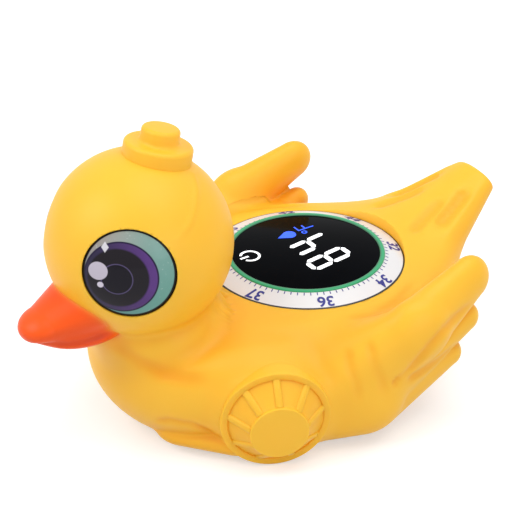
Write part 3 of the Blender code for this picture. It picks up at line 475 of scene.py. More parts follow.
def softForm(name, field, voxel, turns, calm=None, calmReach=2.5, calmTurns=6):
    # blocks fused by a fine remesh; then every vertex slides onto the blended surface
    bm = bmesh.new()
    field.blocks(bm)
    source = cleaned(name + "Blocks", bm, smooth=False)
    remesh = source.modifiers.new("Fuse", "REMESH")
    remesh.mode = "VOXEL"
    remesh.voxel_size = voxel
    mesh = settled(source)
    discard(source)
    mesh.name = name
    points = meshPoints(mesh)
    pairs = np.empty(len(mesh.edges) * 2, dtype=np.int32)
    mesh.edges.foreach_get("vertices", pairs)
    edges = pairs.reshape(-1, 2)
    for turn in range(turns):
        if 0 < turn < turns - 2:
            points = 0.5 * (points + neighbourAverage(points, edges))
        slope = field.slope(points)
        steep = np.maximum(np.sum(slope * slope, axis=1), 0.1)
        move = np.clip(field.distance(points) / steep, -2.0 * voxel, 2.0 * voxel)
        points = points - slope * move[:, None]
    if calm:
        # the tight valley round this form is evened out once more
        near = (np.abs(calm.distance(points)) < calmReach)[:, None]
        for turn in range(calmTurns):
            points = np.where(near, 0.5 * (points + neighbourAverage(points, edges)), points)
    mesh.vertices.foreach_set("co", points.ravel())
    mesh.update()
    mesh.shade_smooth()
    return link(name, mesh)


def toWorld(piece):
    piece.data.transform(flatPlace @ Matrix.Diagonal((mm, mm, mm, 1.0)))


def paint(piece, name, values):
    attribute = piece.data.attributes.new(name, "FLOAT", "POINT")
    attribute.data.foreach_set("value", np.clip(values, 0.0, 1.0).astype(np.float32))


def around(name, source, count, material):
    # Geometry Nodes: the source repeated evenly round the Z axis
    tree = bpy.data.node_groups.new(name + "Tree", "GeometryNodeTree")
    face = tree.interface
    face.new_socket("Geometry", in_out="INPUT", socket_type="NodeSocketGeometry")
    countSocket = face.new_socket("Count", in_out="INPUT", socket_type="NodeSocketInt")
    materialSocket = face.new_socket("Material", in_out="INPUT", socket_type="NodeSocketMaterial")
    face.new_socket("Geometry", in_out="OUTPUT", socket_type="NodeSocketGeometry")
    desk = Desk(tree)
    entry = tree.nodes.new("NodeGroupInput")
    shape, number, coat = [Wire(desk, socket) for socket in entry.outputs[:3]]
    line = desk.node("GeometryNodeMeshLine", {"mode": "OFFSET"},
                     Count=number, Offset=(0.0, 0.0, 0.0))
    index = desk.node("GeometryNodeInputIndex")
    turn = desk.node("ShaderNodeCombineXYZ", None, Z=index * (2.0 * math.pi) / number)
    copies = desk.node("GeometryNodeInstanceOnPoints", None,
                       Points=line, Instance=shape, Rotation=turn)
    real = desk.node("GeometryNodeRealizeInstances", None, copies)
    dressed = desk.node("GeometryNodeSetMaterial", None, real, Material=coat)
    leave = tree.nodes.new("NodeGroupOutput")
    tree.links.new(dressed.socket, leave.inputs[0])
    nodes = source.modifiers.new("Around", "NODES")
    nodes.node_group = tree
    nodes[countSocket.identifier] = count
    nodes[materialSocket.identifier] = material
    return frozen(name, source)


def dress(piece, material, slotName, *nodes):
    piece.data.materials.clear()
    piece.data.materials.append(material)
    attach(piece, "root")
    if nodes:
        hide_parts(*nodes)
    return piece


# the duck's moulding

duck = {
    "voxel": 0.62, "turns": 11,
    "headCentre": (0.0, -40.8, 43.5), "headRadius": 19.0,
    "eyeTurn": 53.0, "eyeLift": 6.5, "eyeRadius": 9.2, "eyeSeat": 1.0, "eyeGap": 0.05,
    "armFace": (1.0, -0.05, 0.1), "armThin": 0.62, "featherThin": 0.75,
    "tailEnd": (0.0, 49.0, 34.2), "tailThin": 0.56, "tailCut": 2.6,
    "deckTop": 27.4, "deckCrown": 205.0, "roomRadius": 21.2,
    "sleeveFold": 0.4, "tailGroove": 2.0, "featherGroove": 1.1, "seamRise": 0.32, "mouthLine": 0.5,
}
drum = {
    "centre": (26.0, -26.0, 11.5), "turn": 66.0, "lift": -3.0, "radius": 11.3, "rim": 1.5,
    "face": 3.0, "depth": 6.0, "panelDrop": 0.45, "panelRise": 4.2, "hub": 6.0, "hubRise": 0.8,
    "ribs": 9, "ribWidth": 1.7, "ribRise": 0.22, "ribEdge": 0.6,
    "rootSink": 2.2, "rootRadius": 10.9, "rootHalf": 4.2, "rootEdge": 1.6,
}
wide = 500.0  # more than the duck, for flat cuts
headCentre = vec(*duck["headCentre"])
head = Egg(duck["headCentre"], duck["headRadius"])
neck = Egg((0.0, -38.5, 24.0), (14.8, 12.6, 11.0))

armLook = (duck["armFace"], duck["armThin"])
featherLook = (duck["armFace"], duck["featherThin"])
sleeve = Limb((25.0, -17.5, 9.8), (30.0, -7.0, 10.8), 9.2, 9.2, *armLook)
upperWing = Limb((29.5, -9.0, 14.5), (33.8, 4.0, 24.2), 8.6, 7.2, *armLook)
firstFeather = Limb((33.8, 4.0, 24.2), (32.0, 18.4, 30.8), 7.2, 4.9, *armLook)
secondFeather = Limb((31.0, -2.0, 14.0), (30.8, 18.8, 20.8), 7.0, 3.3, *featherLook)
thirdFeather = Limb((29.5, -2.0, 9.0), (30.0, 15.8, 12.6), 7.2, 2.9, *featherLook)
arm = Field(
    ("join", sleeve, 0.0), ("join", upperWing, 2.0), ("join", firstFeather, 1.0),
    ("join", secondFeather, 0.8), ("join", thirdFeather, 0.8))

tailLimb = Limb((0.0, 16.0, 15.0), duck["tailEnd"], 19.0, 4.7, up, duck["tailThin"])
tailAxis = unit(tailLimb.along)
tailMiddle = vec(*duck["tailEnd"]) - tailAxis * (wide + duck["tailCut"])
tail = Field(  # its tip is cut off square
    ("join", tailLimb, 0.0), ("trim", Slab(tailMiddle, tailAxis, wide, wide, 0.0), 1.0))

foot = Limb((18.8, -29.6, 3.8), (10.5, -37.0, 3.8), 7.2, 6.6, up, 0.5)
drumAxis = bearing(drum["turn"], drum["lift"])
drumRoot = Slab(vec(*drum["centre"]) - drumAxis * drum["rootSink"], drumAxis,
                drum["rootRadius"], drum["rootHalf"], drum["rootEdge"])
eyeAxis = bearing(duck["eyeTurn"], duck["eyeLift"])
eyeFloor = math.sqrt(duck["headRadius"] ** 2 - duck["eyeRadius"] ** 2) - duck["eyeSeat"]

creases = (
    # two grooves on each side of the tail, and the raised edge beside them
    Crease(duck["tailGroove"], 1.1, 0.9,
           (4.7, 39.7, 33.0), (5.8, 37.2, 31.8), (6.9, 33.6, 30.3), (8.4, 29.2, 28.9)),
    Crease(0.8 * duck["tailGroove"], 1.0, 0.7,
           (3.2, 34.2, 31.7), (4.2, 30.7, 30.5), (5.5, 27.0, 29.5), (6.9, 23.2, 28.6)),
    Crease(-0.35, 1.1, 0.0,
           (4.4, 45.3, 34.4), (7.2, 38.9, 31.3), (9.4, 33.1, 28.7), (11.8, 28.5, 27.2)),
    # between the feathers, and the dimple where they part
    Crease(duck["featherGroove"], 0.9, 0.7,
           (35.5, 16.6, 27.0), (36.4, 13.3, 26.5), (37.1, 10.8, 25.9), (38.4, 7.4, 25.5),
           (38.6, 4.6, 23.7), (38.1, 2.2, 21.2), (36.9, 0.6, 18.0), (36.3, -1.5, 16.0)),
    Crease(duck["featherGroove"], 0.8, 0.6,
           (33.6, 15.3, 16.6), (34.1, 10.7, 15.3), (35.4, 4.5, 14.8), (36.1, 0.3, 14.8)),
    Crease(0.9, 0.9, 0.8, (36.3, -3.3, 16.2), (36.3, -2.2, 15.4)),
    # two folds of the sleeve
    Crease(duck["sleeveFold"], 0.8, 0.3,
           (30.7, -11.0, 23.8), (32.2, -11.9, 21.7), (33.0, -12.0, 20.0), (34.1, -11.4, 17.5),
           (34.8, -10.8, 12.6)),
    Crease(duck["sleeveFold"], 0.8, 0.3,
           (32.6, -7.4, 25.2), (34.2, -7.7, 22.9), (35.1, -7.5, 20.4), (35.7, -6.4, 17.5),
           (36.3, -5.1, 12.7)),
    # under the neck, over the foot, and where the wing leaves the back
    Crease(0.4, 1.2, 0.55,
           (4.9, -50.3, 25.2), (7.7, -49.3, 24.2), (10.3, -47.4, 22.5), (13.3, -44.6, 21.0),
           (17.6, -41.5, 20.5), (20.9, -37.4, 20.3)),
    Crease(0.45, 0.7, 0.4,
           (12.5, -45.4, 8.7), (15.4, -44.1, 10.2), (18.7, -40.8, 9.8), (20.1, -35.7, 6.6)),
    Crease(0.25, 0.8, 0.35,
           (24.2, -6.6, 25.8), (26.4, -1.2, 26.1), (24.2, 6.4, 25.7), (19.9, 14.1, 25.9)),
    # the mould's seam over the head
    Crease(-duck["seamRise"], 0.5, 0.15,
           (0.0, -24.5, 53.2), (7.1, -32.2, 58.9), (10.8, -33.6, 57.4), (13.4, -35.6, 55.9),
           (16.0, -38.6, 53.6), (17.0, -42.5, 51.8)),
)
body = Field(
    ("join", Egg((0.0, -13.0, 13.5), (27.0, 34.5, 15.5)), 0.0),
    ("join", Egg((0.0, -31.0, 17.0), (20.0, 16.0, 17.0)), 12.0),
    ("join", Egg((0.0, 2.0, 18.5), (29.5, 28.0, 10.5)), 8.0),
    ("join", Slab((0.0, -3.0, 5.0), up, 21.0, 5.0, 4.0), 6.0),
    ("join", Slab((0.0, 1.0, 18.5), up, 28.0, 10.0, 6.0), 4.0),
    ("trim", Egg((0.0, 0.0, duck["deckTop"] - duck["deckCrown"]), duck["deckCrown"]), 3.0),
    ("join", tail, 8.0), ("join", arm, 6.0), ("join", drumRoot, 4.5),
    ("join", neck, 2.4), ("join", head, 1.6), ("join", foot, 0.8),
    ("trim", Slab((0.0, 0.0, wide), up, wide, wide, 0.0), 0.5),
    creases=creases)

bill = Limb((0.0, -51.0, 34.7), (0.0, -63.1, 31.8), 10.4, 5.2, up, 0.58)
lip = Egg((0.0, -54.2, 28.87), (7.6, 10.4, 3.2))
mouthLine = Crease(
    duck["mouthLine"], 0.5, 0.5,
    (7.6, -52.5, 29.9), (7.4, -55.8, 29.4), (6.9, -58.4, 29.2), (5.7, -61.1, 29.0),
    (4.4, -63.9, 29.3), (2.5, -65.8, 29.6), (0.0, -66.6, 29.7))
beakField = Field(("join", bill, 0.0), ("join", lip, 2.2), creases=(mouthLine,))


def vinylMaterial():
    # soft moulded vinyl: painted shade, a deeper orange, where it folds in, and a breath of orange by
    # the beak
    material, desk, shader = finish(
        "yellowVinyl", (0.95, 0.5, 0.03), 0.42, Subsurface_Weight=0.15, Subsurface_Scale=0.004,
        Specular_IOR_Level=0.3)
    shader["Subsurface Radius"].default_value = (1.0, 0.45, 0.12)
    place = desk.objectPlace()
    broad = desk.noise(place, 55.0)
    fine = desk.noise(place, 1400.0, 3.0)
    hollow = desk.node("ShaderNodeAttribute", {"attribute_name": "hollow"}, out=2)
    blush = desk.node("ShaderNodeAttribute", {"attribute_name": "blush"}, out=2)
    colour = desk.mix(broad, (0.95, 0.495, 0.026), (0.98, 0.54, 0.042))
    # painted shade: deeper orange in the folds and creases
    colour = desk.mix(hollow * 0.85, colour, (0.88, 0.34, 0.008))
    colour = desk.mix(blush, colour, (0.95, 0.2, 0.03))
    desk.feed(shader["Base Color"], colour)
    desk.feed(shader["Roughness"], 0.38 + broad * 0.06 + fine * 0.06)
    desk.feed(shader["Normal"], desk.bump(fine, 0.12, 0.00006))
    return material


yellowVinyl = vinylMaterial()


def foldShading(field, points):
    # painted shade: how much the surface folds in round each point, from the field a few mm outside
    # it
    slope = field.slope(points)
    normal = slope / np.maximum(np.linalg.norm(slope, axis=1, keepdims=True), 0.001)
    total = np.zeros(len(points))
    for reach in (1.2, 3.0, 7.0):
        total += 1.0 - field.distance(points + normal * reach) / reach
    return np.maximum(total / 3.0 - 0.06, 0.0) * 1.7


def eyePan(name, side):
    # the round seat of an eye, cut into the head down to its floor
    radius = duck["eyeRadius"] + duck["eyeGap"]
    axis = eyeAxis * (side, 1.0, 1.0)
    return lathe(name, ((0.0, 30.0), (radius, 30.0), (radius, eyeFloor), (0.0, eyeFloor)),
                 inMillimetres @ flatPlace.inverted() @ placed(axis, headCentre, up), 128)


def makeDuck():
    skin = softForm("duckSkin", body, duck["voxel"], duck["turns"], neck)
    capsuleRoom = (
        (0.0, 40.0), (duck["roomRadius"], 40.0), (duck["roomRadius"], 24.8), (17.8, 24.8),
        (17.8, 12.0), (15.3, 8.5), (15.3, -3.0), (0.0, -3.0))
    room = lathe("room", capsuleRoom, inMillimetres, 96)
    skin = sunk(skin, room, eyePan("panLeft", 1.0), eyePan("panRight", -1.0))
    points = meshPoints(skin.data)
    # painted shade from the folds and along the creases
    shadeAmount = foldShading(body, points) + body.creaseShade(points)
    away = np.hypot(points[:, 0], points[:, 1])
    inRoom = (away < duck["roomRadius"] - 0.02) & (points[:, 2] < 27.0)
    paint(skin, "hollow", np.where(inRoom, 0.0, shadeAmount))
    paint(skin, "blush", 0.9 * np.exp(-np.maximum(beakField.distance(points), 0.0) / 0.35))
    toWorld(skin)
    return dress(skin, yellowVinyl, "yellow_vinyl", "body_shell")


makeDuck()
print("duck skin done")

knot = {"place": 15.0, "tilt": 12.0, "radius": 7.0, "rise": 2.0, "sink": 3.2,
        "button": 3.9, "buttonRise": 3.2}


def makeTopknot():
    place, tilt = math.radians(knot["place"]), math.radians(knot["tilt"])
    base = headCentre + duck["headRadius"] * vec(0.0, math.sin(place), math.cos(place))
    top = knot["rise"] + knot["buttonRise"]
    profile = (
        (0.0, top), (knot["button"], top), (knot["button"], knot["rise"]),
        (knot["radius"], knot["rise"]), (knot["radius"], -knot["sink"]), (0.0, -knot["sink"]))
    matrix = placed((0.0, math.sin(tilt), math.cos(tilt)), base, (1.0, 0.0, 0.0))
    piece = lathe("topknot", profile, matrix, 96, rounding=0.85, segments=5, keepSharp=80.0)
    for name in ("hollow", "blush"):
        paint(piece, name, np.zeros(len(piece.data.vertices)))
    return dress(piece, yellowVinyl, "yellow_vinyl")


makeTopknot()


def makeDrums():
    matrix = placed(drumAxis, drum["centre"], up)
    bore = drum["radius"] - drum["rim"]
    panel = drum["face"] - drum["panelDrop"]
    hubFoot = panel + drum["panelRise"]
    hubTop = hubFoot + drum["hubRise"]
    profile = (
        (0.0, hubTop), (drum["hub"], hubTop), (drum["hub"], hubFoot),
        (bore, panel), (bore, drum["face"]), (drum["radius"], drum["face"]),
        (drum["radius"], -drum["depth"]), (0.0, -drum["depth"]))
    wheel = lathe("wheel", profile, matrix, 108, rounding=0.85, segments=5, keepSharp=80.0)
    # one rib leans with the panel; Geometry Nodes repeat it round the hub
    start, end = drum["hub"] - 0.7, drum["radius"] - 0.9
    lean = math.atan2(drum["panelRise"], bore - drum["hub"])
    length = (end - start) / math.cos(lean)
    height = panel + 0.5 * drum["panelRise"] + drum["ribRise"] - 1.0
    bm = bmesh.new()
    stand = Matrix.Rotation(math.pi / 2.0, 4, "Z")
    stand = stand @ Matrix.Translation((0.5 * (start + end), 0.0, height))
    stand = stand @ Matrix.Rotation(lean, 4, "Y")
    stand = stand @ Matrix.Diagonal((length, drum["ribWidth"], 2.0, 1.0))
    bmesh.ops.create_cube(bm, size=1.0, matrix=Matrix.Diagonal((mm, mm, mm, 1.0)) @ stand)
    rib = cleaned("rib", bm, smooth=False)
    bevel = rib.modifiers.new("Edges", "BEVEL")
    bevel.width = drum["ribEdge"] * mm
    bevel.segments = 4
    ribs = around("ribs", rib, drum["ribs"], yellowVinyl)
    ribs.data.transform(matrix)
    ribs.data.shade_smooth()
    near = joined("shoulderDrum", wheel, ribs)
    piece = joined("shoulderDrums", mirroredCopy(near), near)
    # painted shade in the corners of the panels, at the rim and at the hub, where they fold in
    points = oneSide((meshPoints(piece.data) - vec(0.0, displayY, 0.0)) / mm)
    offset = points - vec(*drum["centre"])
    along = offset @ drumAxis
    away = np.linalg.norm(offset - np.outer(along, drumAxis), axis=1)
    low = np.exp(-((away - bore + 0.2) / 0.7) ** 2)
    low += np.exp(-((away - drum["hub"] - 0.3) / 0.6) ** 2)
    paint(piece, "hollow", 0.3 * low * (along < hubFoot + 0.3))
    paint(piece, "blush", np.zeros(len(points)))
    return dress(piece, yellowVinyl, "yellow_vinyl")


makeDrums()
print("drums and topknot done")


# beak

def beakMaterial():
    material, desk, shader = finish(
        "orangeVinyl", (0.92, 0.105, 0.013), 0.36, Subsurface_Weight=0.12, Subsurface_Scale=0.003,
        Specular_IOR_Level=0.22)
    shader["Subsurface Radius"].default_value = (1.0, 0.25, 0.08)
    place = desk.objectPlace()
    broad = desk.noise(place, 90.0)
    fine = desk.noise(place, 1500.0, 3.0)
    edge = desk.node("ShaderNodeAttribute", {"attribute_name": "edge"}, out=2)
    hollow = desk.node("ShaderNodeAttribute", {"attribute_name": "hollow"}, out=2)
    colour = desk.mix(broad, (0.91, 0.085, 0.006), (0.95, 0.115, 0.01))
    # painted shade: darker orange in the mouth line and the folds
    colour = desk.mix(hollow, colour, (0.62, 0.05, 0.01))
    colour = desk.mix(edge, colour, (0.96, 0.36, 0.05))
    desk.feed(shader["Base Color"], colour)
    desk.feed(shader["Roughness"], 0.32 + broad * 0.08)
    desk.feed(shader["Normal"], desk.bump(fine, 0.12, 0.00005))
    return material


orangeVinyl = beakMaterial()


def makeBeak():
    piece = softForm("beakInsert", beakField, 0.42, 9)
    bm = bmesh.new()
    bmesh.ops.create_uvsphere(bm, u_segments=72, v_segments=48, radius=duck["headRadius"] - 1.4,
                              matrix=Matrix.Translation(headCentre))
    piece = sunk(piece, cleaned("beakBack", bm))
    points = meshPoints(piece.data)
    # painted shade along the mouth line and in the folds
    paint(piece, "hollow", foldShading(beakField, points) * 0.5 + beakField.creaseShade(points))
    paint(piece, "edge", 0.75 * np.exp(-np.maximum(head.distance(points), 0.0) / 0.3))
    toWorld(piece)
    return dress(piece, orangeVinyl, "orange_vinyl", "beak")


makeBeak()
print("beak done")

# eyes

eye = {
    "domeRise": 2.7, "rimDrop": 0.55, "skew": 0.22,
    "irisPlace": (-1.47, -0.71), "irisRadius": 7.3, "pupilPlace": (-2.0, -0.83), "pupilRadius": 6.05,
    "haloPlace": (-2.2, -0.95), "haloRadius": 3.1, "glintPlace": (-5.9, 0.55), "glintRadius": 1.95,
    "smallPlace": (-5.5, -2.3), "smallRadius": 0.64, "glareSparkPlace": (-4.5, 5.4), "glareSparkSize": 0.75,
}
eyeBase = eyeFloor + 0.2
eyePlace = placed(eyeAxis, headCentre + eyeAxis * eyeBase, up)


def eyeMaterial():
    # a printed eye under a clear dome, painted in the eye's own plane, with painted highlights; both
    # sides read |x|
    material, desk, shader = finish(
        "glossyEye", (0.1, 0.1, 0.12), 0.2, Specular_IOR_Level=0.14)
    x, y, z = desk.split(desk.objectPlace())
    mirrored = desk.node("ShaderNodeCombineXYZ", None, x.maths("ABSOLUTE"), y, z)
    u, v, w = [wire / mm for wire in desk.split(desk.local(mirrored, eyePlace))]
    v = v - w * eye["skew"]
    rim = desk.fromAxis(u, v)

    def disc(key, soft=0.1, squash=1.0):
        place = eye[key + "Place"]
        away = desk.fromAxis(u - place[0], (v - place[1]) * squash)
        return away.below(eye[key + "Radius"], soft)

    def ring(key, inset, width):
        place = eye[key + "Place"]
        away = desk.fromAxis(u - place[0], v - place[1])
        return ((away - (eye[key + "Radius"] - inset)).maths("ABSOLUTE")).below(width, 0.08)

    speckle = desk.noise(desk.objectPlace(), 1600.0)
    fibres = desk.noise(desk.objectPlace(), 260.0)
    height = desk.step(v, -8.0, 8.5)
    side = desk.step(u, -8.0, 8.0)
    white = desk.mix(side, (0.35, 0.3, 0.28), (0.2, 0.36, 0.32))
    white = desk.mix(height, desk.mix(side, (0.1, 0.24, 0.24), (0.15, 0.36, 0.3)), white)
    white = desk.mix(speckle.above(0.69, 0.02) * 0.3, white, (0.6, 0.68, 0.66))
    # dark navy at the beak side of the iris, a purple band on the far side
    iris = desk.mix(side, (0.03, 0.026, 0.065), (0.13, 0.05, 0.25))
    iris = desk.mix(fibres, iris, desk.mix(side, (0.03, 0.024, 0.05), (0.1, 0.04, 0.2)))
    # a painted highlight: a small diamond of glare high on the dome
    across = (u - eye["glareSparkPlace"][0]).maths("ABSOLUTE")
    along = (v - eye["glareSparkPlace"][1]).maths("ABSOLUTE")
    glareSpark = (across + along * 0.7).below(eye["glareSparkSize"], 0.1)
    edge = rim.above(duck["eyeRadius"] - eye["rimDrop"], 0.06)
    colour = white
    # each layer lies over the ones before it; the glint, the small glint and the glare spark are
    # painted highlights
    for mask, tone in (
            (disc("iris"), iris),
            (ring("iris", 0.1, 0.16), (0.02, 0.014, 0.045)),
            (disc("pupil", 0.25), (0.014, 0.011, 0.015)),
            (disc("halo"), (0.008, 0.006, 0.011)),
            (ring("halo", 0.0, 0.1) * 0.8, (0.11, 0.085, 0.19)),
            (disc("glint", 0.08, 1.05), (0.52, 0.47, 0.55)),
            (disc("small", 0.08, 1.05), (0.62, 0.57, 0.66)),
            (glareSpark * 0.9, (0.7, 0.68, 0.72)),
            (edge, (0.006, 0.006, 0.007))):
        colour = desk.mix(mask, colour, tone)
    desk.feed(shader["Base Color"], colour)
    desk.feed(shader["Roughness"], 0.05 + speckle * 0.05)
    return material


glossyEye = eyeMaterial()


def makeEye(name, side, *nodes):
    rise = eye["domeRise"]
    radius = duck["eyeRadius"]
    curve = (radius ** 2 + rise ** 2) / (2.0 * rise)
    profile = []
    for reach in np.linspace(0.0, radius, 25):
        profile.append((reach, rise + 0.4 - curve + math.sqrt(curve ** 2 - reach ** 2)))
    profile += [(radius, 0.0), (0.0, 0.0)]
    axis = eyeAxis * (side, 1.0, 1.0)
    piece = lathe(name, profile, placed(axis, headCentre + axis * eyeBase, up), 96, rounding=0.12)
    return dress(piece, glossyEye, "clear_lens", *nodes)


makeEye("eyeLeft", 1.0, "eye_dome_left", "eye_print_left")
makeEye("eyeRight", -1.0, "eye_dome_right", "eye_print_right")
print("eyes done")

# display

panel = {
    "windowRadius": 15.85, "top": 28.0, "ringRadius": 16.9, "labelRadius": 20.8, "edgeRadius": 21.12,
    "windowDepth": 1.2, "ringRise": 0.1, "ringDepth": 2.4, "ringInner": 16.15,
    "labelTop": 27.8, "labelFall": 1.3, "labelRun": 3.6, "labelInner": 17.0, "film": 0.3,
    "tickCount": 80, "tickLength": 0.7, "tickWidth": 0.19, "tickRadius": 17.35,
    "numbers": ("32", "34", "36", "37", "38", "40", "42", "44"), "numberSize": 3.6,
    "numberRadius": 19.25, "inkLift": 0.015,
}
labelSlope = panel["labelFall"] / panel["labelRun"]


def windowMaterial():
    material, desk, shader = finish(
        "smokedWindow", (0.003, 0.003, 0.004), 0.1, Specular_IOR_Level=0.008)
    place = desk.objectPlace()
    haze = desk.noise(place, 120.0)
    colour = desk.mix(haze, (0.0015, 0.0018, 0.0025), (0.004, 0.0045, 0.006))
    desk.feed(shader["Base Color"], colour)
    desk.feed(shader["Roughness"], 0.08 + haze * 0.06)
    return material


def ringMaterial():
    material, desk, shader = finish("greenLight", (0.02, 0.33, 0.13), 0.3, Emission_Strength=0.16)
    place = desk.objectPlace()
    x, y, z = desk.split(desk.local(place, flatPlace))
    away = desk.fromAxis(x, y) / mm
    inner = away.below(panel["ringInner"], 0.12)
    cloud = desk.noise(place, 180.0)
    colour = desk.mix(cloud, (0.008, 0.27, 0.1), (0.018, 0.36, 0.15))
    colour = desk.mix(inner, colour, (0.03, 0.17, 0.08))
    desk.feed(shader["Base Color"], colour)
    desk.feed(shader["Emission Color"], colour)
    return material


def labelMaterial():
    material, desk, shader = finish("whiteLabel", (0.78, 0.79, 0.82), 0.32, Coat_Weight=0.25,
                                    Coat_Roughness=0.12)
    place = desk.objectPlace()
    cloud = desk.noise(place, 140.0)
    grain = desk.noise(place, 2600.0)
    desk.feed(shader["Base Color"], desk.mix(cloud, (0.76, 0.765, 0.79), (0.8, 0.805, 0.825)))
    desk.feed(shader["Roughness"], 0.28 + grain * 0.1)
    return material


def inkMaterial(name, colour, second):
    material, desk, shader = finish(name, colour, 0.4)
    desk.feed(shader["Base Color"], desk.mix(desk.noise(desk.objectPlace(), 900.0), colour, second))
    return material


def litMaterial(name, colour, second, strength):
    material, desk, shader = finish(name, colour, 0.3, Emission_Strength=strength)
    mixed = desk.mix(desk.noise(desk.objectPlace(), 700.0), colour, second)
    desk.feed(shader["Base Color"], mixed)
    desk.feed(shader["Emission Color"], mixed)
    return material


smokedWindow = windowMaterial()
greenLight = ringMaterial()
whiteLabel = labelMaterial()
blueInk = inkMaterial("blueInk", (0.012, 0.014, 0.21), (0.02, 0.022, 0.27))
# painted shadow: near-black for the gap under the label's edge
blackEdge = inkMaterial("blackEdge", (0.008, 0.008, 0.01), (0.02, 0.02, 0.024))
whiteLight = litMaterial("whiteLight", (0.9, 0.93, 0.95), (0.96, 0.98, 1.0), 0.75)
blueLight = litMaterial("blueLight", (0.01, 0.07, 0.8), (0.012, 0.1, 0.95), 0.8)


def makeDisplay():
    top, radius = panel["top"], panel["windowRadius"]
    low = top - panel["windowDepth"]
    window = lathe("window", ((0.0, top), (radius, top), (radius, low), (0.0, low)),
                   rounding=0.1, segments=2)
    dress(window, smokedWindow, "smoked_window", "display_window")
    inner, outer = radius + 0.02, panel["ringRadius"]
    high, low = top + panel["ringRise"], top - panel["ringDepth"]
    ring = lathe("lightRing", ((inner, high), (outer, high), (outer, low), (inner, low)),
                 closed=True, rounding=0.15, segments=3)
    dress(ring, greenLight, "green_light_guide", "indicator_ring")
    inner, outer, high, film = outer + 0.04, panel["labelRadius"], panel["labelTop"], panel["film"]
    low = high - labelSlope * (outer - inner)
    profile = ((inner, high), (outer, low), (outer, low - film), (inner, high - film))
    label = lathe("labelRing", profile, closed=True, steps=192)
    dress(label, whiteLabel, "white_film", "label_ring")
    # a black band round the label's rim, a painted shadow of the gap under its edge
    inner, outer = outer + 0.01, panel["edgeRadius"]
    profile = ((inner, low + 0.02), (outer, low - 0.1), (outer, low - 0.7), (inner, low - 0.7))
    band = lathe("labelEdge", profile, closed=True, steps=192)
    dress(band, blackEdge, "white_film")


makeDisplay()


def onLabel(radius, turn):
    # local X along the ring, Y outwards and Z off the label, at an angle round the display
    angle = math.radians(turn)
    height = panel["labelTop"] - labelSlope * (radius - panel["labelInner"]) + panel["inkLift"]
    tilt = math.atan(labelSlope)
    lay = Matrix.Rotation(angle - math.pi / 2.0, 4, "Z")
    lay = lay @ Matrix.Translation((0.0, radius * mm, height * mm)) @ Matrix.Rotation(-tilt, 4, "X")
    return flatPlace @ lay


def makeTicks():
    # Geometry Nodes: a plain scale of ticks round the label's inner edge
    bm = bmesh.new()
    size = Matrix.Diagonal((panel["tickWidth"] * mm, panel["tickLength"] * mm, 0.03 * mm, 1.0))
    place = flatPlace.inverted() @ onLabel(panel["tickRadius"], 90.0)
    bmesh.ops.create_cube(bm, size=1.0, matrix=place @ size)
    tick = cleaned("tick", bm, smooth=False)
    piece = around("labelTicks", tick, panel["tickCount"], blueInk)
    piece.data.transform(flatPlace)
    return dress(piece, blueInk, "white_film")


def textMesh(name, words, size):
    curve = bpy.data.curves.new(name, "FONT")
    curve.body = words
    curve.size = size * mm
    curve.extrude = 0.015 * mm
    curve.offset = 0.08 * mm
    curve.align_x = "CENTER"
    curve.align_y = "CENTER"
    source = link(name, curve)
    mesh = settled(source)
    discard(source)
    return mesh


def makeNumbers():
    bm = bmesh.new()
    share = 360.0 / len(panel["numbers"])
    for index, words in enumerate(panel["numbers"]):
        mesh = textMesh("number", words, panel["numberSize"])
        mesh.transform(onLabel(panel["numberRadius"], 90.0 - share * (index + 0.5)))
        bm.from_mesh(mesh)
    return dress(cleaned("labelNumbers", bm, smooth=False), blueInk, "white_film")


makeTicks()
makeNumbers()

digits = {"height": 11.0, "width": 4.75, "slant": -0.13, "stroke": 1.15, "gap": 0.2,
          "lift": 0.03, "thick": 0.03}
segmentsOf = {"8": "abcdefg", "4": "bcfg"}


def readingPlace(u, v):
    # marks are read from the tail: their right is the duck's right, their top is towards the head
    move = Matrix.Translation((u * mm, v * mm, (panel["top"] + digits["lift"]) * mm))
    return flatPlace @ move @ Matrix.Rotation(math.pi, 4, "Z")


def plate(bm, outline, matrix):
    # a thin closed plate from an outline in mm
    low, high = [
        [bm.verts.new(matrix @ (Vector((x, y, z)) * mm)) for x, y in outline]
        for z in (0.0, digits["thick"])]
    bm.faces.new(low[::-1])
    bm.faces.new(high)
    for index in range(len(outline)):
        after = (index + 1) % len(outline)
        bm.faces.new((low[index], low[after], high[after], high[index]))


def segment(start, end, stroke, gap):
    # a pointed bar between two corners
    start, end = np.array(start, float), np.array(end, float)
    along = unit(end - start)
    side = np.array((-along[1], along[0])) * 0.5 * stroke
    a, b = start + along * gap, end - along * gap
    cut = along * 0.5 * stroke
    return [a, a + cut - side, b - cut - side, b, b - cut + side, a + cut + side]


def makeDigits():
    bm = bmesh.new()
    w = 0.5 * (digits["width"] - digits["stroke"])
    h = 0.5 * (digits["height"] - digits["stroke"])
    corners = {
        "a": ((-w, h), (w, h)), "b": ((w, h), (w, 0)), "c": ((w, 0), (w, -h)),
        "d": ((w, -h), (-w, -h)), "e": ((-w, -h), (-w, 0)), "f": ((-w, 0), (-w, h)),
        "g": ((-w, 0), (w, 0))}
    for place, digit in (((5.3, 2.2), "8"), ((-1.75, 2.7), "4")):
        for key in segmentsOf[digit]:
            outline = [(x + digits["slant"] * y, y)
                       for x, y in segment(*corners[key], digits["stroke"], digits["gap"])]
            plate(bm, outline, readingPlace(*place))
    dress(cleaned("digits", bm, smooth=False), whiteLight, "white_film")


def arc(radius, width, start, end, steps=28):
    turns = np.radians(np.linspace(start, end, steps + 1))
    outline = []
    for reach, order in ((radius + width, turns), (radius - width, turns[::-1])):
        outline += [(reach * math.cos(turn), reach * math.sin(turn)) for turn in order]
    return outline


